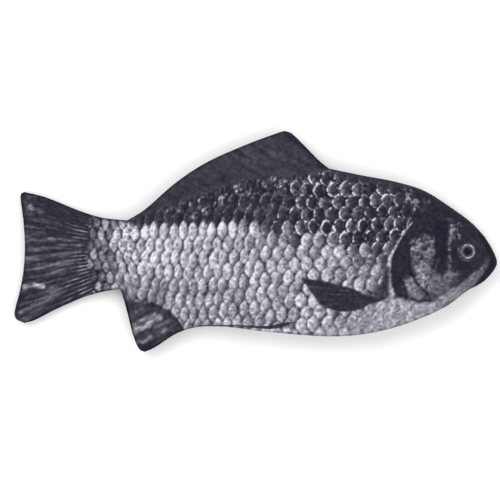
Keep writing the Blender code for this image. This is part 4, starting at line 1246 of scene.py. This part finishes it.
def tube_faces(rings, start=0):
    """Faces of a closed tube whose points are stored ring by ring."""
    faces = []
    for ring in range(rings - 1):
        for k in range(WIRE_SIDES):
            a = start + ring * WIRE_SIDES + k
            b = start + ring * WIRE_SIDES + (k + 1) % WIRE_SIDES
            faces.append((a, b, b + WIRE_SIDES, a + WIRE_SIDES))
    last = start + (rings - 1) * WIRE_SIDES
    faces.append(tuple(range(start, start + WIRE_SIDES)))
    faces.append(tuple(range(last, last + WIRE_SIDES)))
    return faces


def add_wire(name, path, radius):
    """Closed tube of a wire along a path of points in millimetres."""
    ahead = np.gradient(path, axis=0)
    ahead = ahead / np.linalg.norm(ahead, axis=1)[:, None]
    side = np.cross(ahead, np.array([0.0, 0.0, 1.0]))
    side = side / np.maximum(np.linalg.norm(side, axis=1), 1e-6)[:, None]
    up = np.cross(side, ahead)
    turn = np.linspace(0.0, 2 * np.pi, WIRE_SIDES, endpoint=False)[None, :, None]
    spokes = side[:, None, :] * np.cos(turn) + up[:, None, :] * np.sin(turn)
    points = (path[:, None, :] + spokes * radius).reshape(-1, 3)
    return add_object(name, points, tube_faces(len(path)))


def add_coil(name, is_front):
    """Nylon coil: a flattened helix that laces into its partner's turns."""
    sign = 1 if is_front else -1
    front_end = SLIDER_PARKED + degrees_round(SLIDER_LENGTH * COIL_FRONT_END)
    length = math.radians(front_end - ZIP_START) * ARC_RADIUS
    turns = round(length / COIL_PITCH)
    count = turns * RINGS_PER_TURN
    share = np.linspace(0.0, 1.0, count + 1)
    phase = 2 * np.pi * (turns * share + (0.0 if is_front else 0.5))
    radius = ARC_RADIUS + COIL_DEPTH * np.sin(phase)
    x, y = on_arc(ZIP_START + (front_end - ZIP_START) * share, radius)
    z = SEAM_HEIGHT + sign * (COIL_OFFSET + COIL_SPREAD * np.cos(phase))
    return add_wire(name, np.stack([x, y, z], -1), COIL_WIRE)


def add_stitches(name, middles, directions):
    """Row of short thread stitches, each a bead drawn out along its direction."""
    points = []
    faces = []
    turn = np.linspace(0.0, 2 * np.pi, WIRE_SIDES, endpoint=False)
    for middle, direction in zip(middles, directions):
        ahead = direction / np.linalg.norm(direction)
        side = np.cross(ahead, OFF_STITCHES)
        side = side / np.linalg.norm(side)
        up = np.cross(side, ahead)
        faces += tube_faces(len(STITCH_SHAPE), len(points))
        for at, width in STITCH_SHAPE:
            for angle in turn:
                spoke = side * math.cos(angle) + up * math.sin(angle)
                points.append(middle + ahead * at * STITCH_LENGTH + spoke * width * STITCH_RADIUS)
    return add_object(name, points, faces)


def add_zip_stitches(name, is_front):
    """The two rows of thread that hold a coil down on its tape."""
    sign = 1 if is_front else -1
    middles = []
    directions = []
    count = int(math.radians(ZIP_END - ZIP_START) * ARC_RADIUS / STITCH_PITCH)
    for row in range(2):
        for step in range(count):
            angle = ZIP_START + (ZIP_END - ZIP_START) * (step + 0.5 + 0.5 * row) / count
            x, y = on_arc(angle, ARC_RADIUS + TAPE_THICKNESS / 2 + STITCH_RADIUS * STITCH_RAISE)
            z = SEAM_HEIGHT + sign * (CHAIN_HALF_WIDTH + STITCH_ROW_OFFSET + STITCH_ROW_GAP * row)
            turn = math.radians(angle)
            middles.append(np.array([x, y, z]))
            directions.append(np.array([math.cos(turn), math.sin(turn), 0.0]))
    return add_stitches(name, middles, directions)


def repaint(node, material):
    """Give a CAD node's mesh another material."""
    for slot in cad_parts[node].material_slots:
        slot.material = material


# ----------------------------------------------------------------- the whole pouch
SIDES = (("front", True), ("back", False))
EDGE_WEAR = 0.12            # width of the slider's and the pull's softened edges


def add_print_panels():
    """The two printed panels, which carry the same print."""
    plan = panel_plan()
    x, y = plan
    ring_numbers = border(*x.shape)
    ring = np.stack([x.ravel()[ring_numbers], y.ravel()[ring_numbers]], -1)
    inward = away_from(x, y, [*ring[::2], ring[0]])[0]
    greys = grey_value(x.ravel(), y.ravel()).reshape(x.shape) * seam_shade(x, y, inward)
    shades = linear(np.maximum(greys, DARKEST))
    for side, is_front in SIDES:
        panel = add_panel(side + "_print", plan, inward, shades, is_front)
        panel.data.materials.append(printed_cloth(side + "_print_cloth"))
        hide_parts(side + "_panel")
        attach(panel, "root")


def add_lining_cloth():
    """The two halves of the lining bag."""
    for side, is_front in SIDES:
        name = side + "_lining_cloth"
        outer = lining_points(is_front, True)
        inner = lining_points(is_front, False)
        cloth = add_slab(name, outer, inner, LINING_ROW_STEPS + 1, LINING_COLUMN_STEPS + 1)
        cloth.data.materials.append(lining_weave(name + "_weave"))
        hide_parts(side + "_lining")
        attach(cloth, "root")


def add_zip():
    """Tapes, coils and their thread: the coils run up to the slider, and the tapes are shaped to clear
    their panels also where the zip spreads ahead of it.
    """
    for side, is_front in SIDES:
        tape = add_tape(side + "_tape_weave", is_front)
        tape.data.materials.append(tape_weave(side + "_tape_cloth"))
        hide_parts(side + "_zip_tape")
        coil = add_coil(side + "_coil_wire", is_front)
        coil.data.materials.append(nylon(side + "_coil_nylon"))
        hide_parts(side + "_zip_coil")
        stitches = add_zip_stitches(side + "_zip_stitches", is_front)
        stitches.data.materials.append(thread(side + "_zip_thread"))
        for piece in (tape, coil, stitches):
            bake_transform(piece)


def finish_metal():
    """Materials and softened edges for the metal pieces, which are the CAD's own."""
    gunmetal = worn_metal("slider_gunmetal", *GUNMETAL)
    steel = worn_metal("stop_steel", *STEEL)
    repaint("zip_slider", gunmetal)
    repaint("zip_pull", gunmetal)
    for node in ("front_top_stop", "back_top_stop", "bottom_stop"):
        repaint(node, steel)
    for node in ("zip_slider", "zip_pull"):
        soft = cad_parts[node].modifiers.new("worn_edges", "BEVEL")
        soft.width = EDGE_WEAR * MM
        soft.segments = 2
        soft.limit_method = "ANGLE"


# ------------------------------------------------------------------------ the stage
CAMERA_LENS = 300.0
CAMERA_SENSOR = 36.0
FRAME_WIDTH = 227.7         # millimetres across the photograph at the seam's height
FRAME_MIDDLE = (-2.5, -3.9)         # what the camera looks at, in millimetres
FLOOR_SIZE = 6000.0
FLOOR_DROP = 0.05           # of the floor below the pouch, so the two don't flicker
SKY_STRENGTH = 0.95
LIGHTS = (                  # name, place in metres, size in metres and power in watts
    ("key", (-0.55, 0.65, 1.25), 1.1, 8.0),
    ("fill", (0.75, -0.60, 1.10), 1.2, 4.5),
)


def add_floor():
    """Plain pale floor."""
    shape = bmesh.new()
    bmesh.ops.create_grid(shape, x_segments=8, y_segments=8, size=FLOOR_SIZE / 2 * MM)
    mesh = bpy.data.meshes.new("floor")
    shape.to_mesh(mesh)
    shape.free()
    floor = bpy.data.objects.new("floor", mesh)
    bpy.context.scene.collection.objects.link(floor)
    floor.location.z = -FLOOR_DROP * MM
    nodes = Nodes("floor_paper", 0.85)
    grain = nodes.noise(nodes.where(), 6.0, 3.0)
    tone = nodes.ranged(grain, 0.95, 0.99)
    color = nodes.add("CombineColor", {0: tone, 1: tone, 2: tone}).outputs[0]
    mesh.materials.append(nodes.finish(color, nodes.ranged(grain, 0.8, 0.9)))


def add_camera():
    """Camera straight above the pouch, far enough to see it without perspective."""
    distance = FRAME_WIDTH * CAMERA_LENS / CAMERA_SENSOR
    camera = bpy.data.cameras.new("camera")
    camera.lens = CAMERA_LENS
    camera.sensor_width = CAMERA_SENSOR
    eye_point = bpy.data.objects.new("camera", camera)
    eye_point.location = (FRAME_MIDDLE[0] * MM, FRAME_MIDDLE[1] * MM, (SEAM_HEIGHT + distance) * MM)
    bpy.context.scene.collection.objects.link(eye_point)
    bpy.context.scene.camera = eye_point


def add_lights():
    """White surroundings and two large soft lamps."""
    world = bpy.data.worlds.new("studio")
    world.use_nodes = True
    sky = world.node_tree.nodes["Background"]
    sky.inputs["Color"].default_value = (1.0, 1.0, 1.0, 1.0)
    sky.inputs["Strength"].default_value = SKY_STRENGTH
    bpy.context.scene.world = world
    bpy.context.scene.view_settings.view_transform = "Standard"

    for name, place, size, power in LIGHTS:
        light = bpy.data.lights.new(name, "AREA")
        light.shape = "DISK"
        light.size = size
        light.energy = power
        lamp = bpy.data.objects.new(name, light)
        lamp.location = place
        lamp.rotation_euler = (-Vector(place)).to_track_quat("-Z", "Y").to_euler()
        bpy.context.scene.collection.objects.link(lamp)


add_floor()
add_camera()
add_lights()
add_print_panels()
add_lining_cloth()
add_zip()
finish_metal()
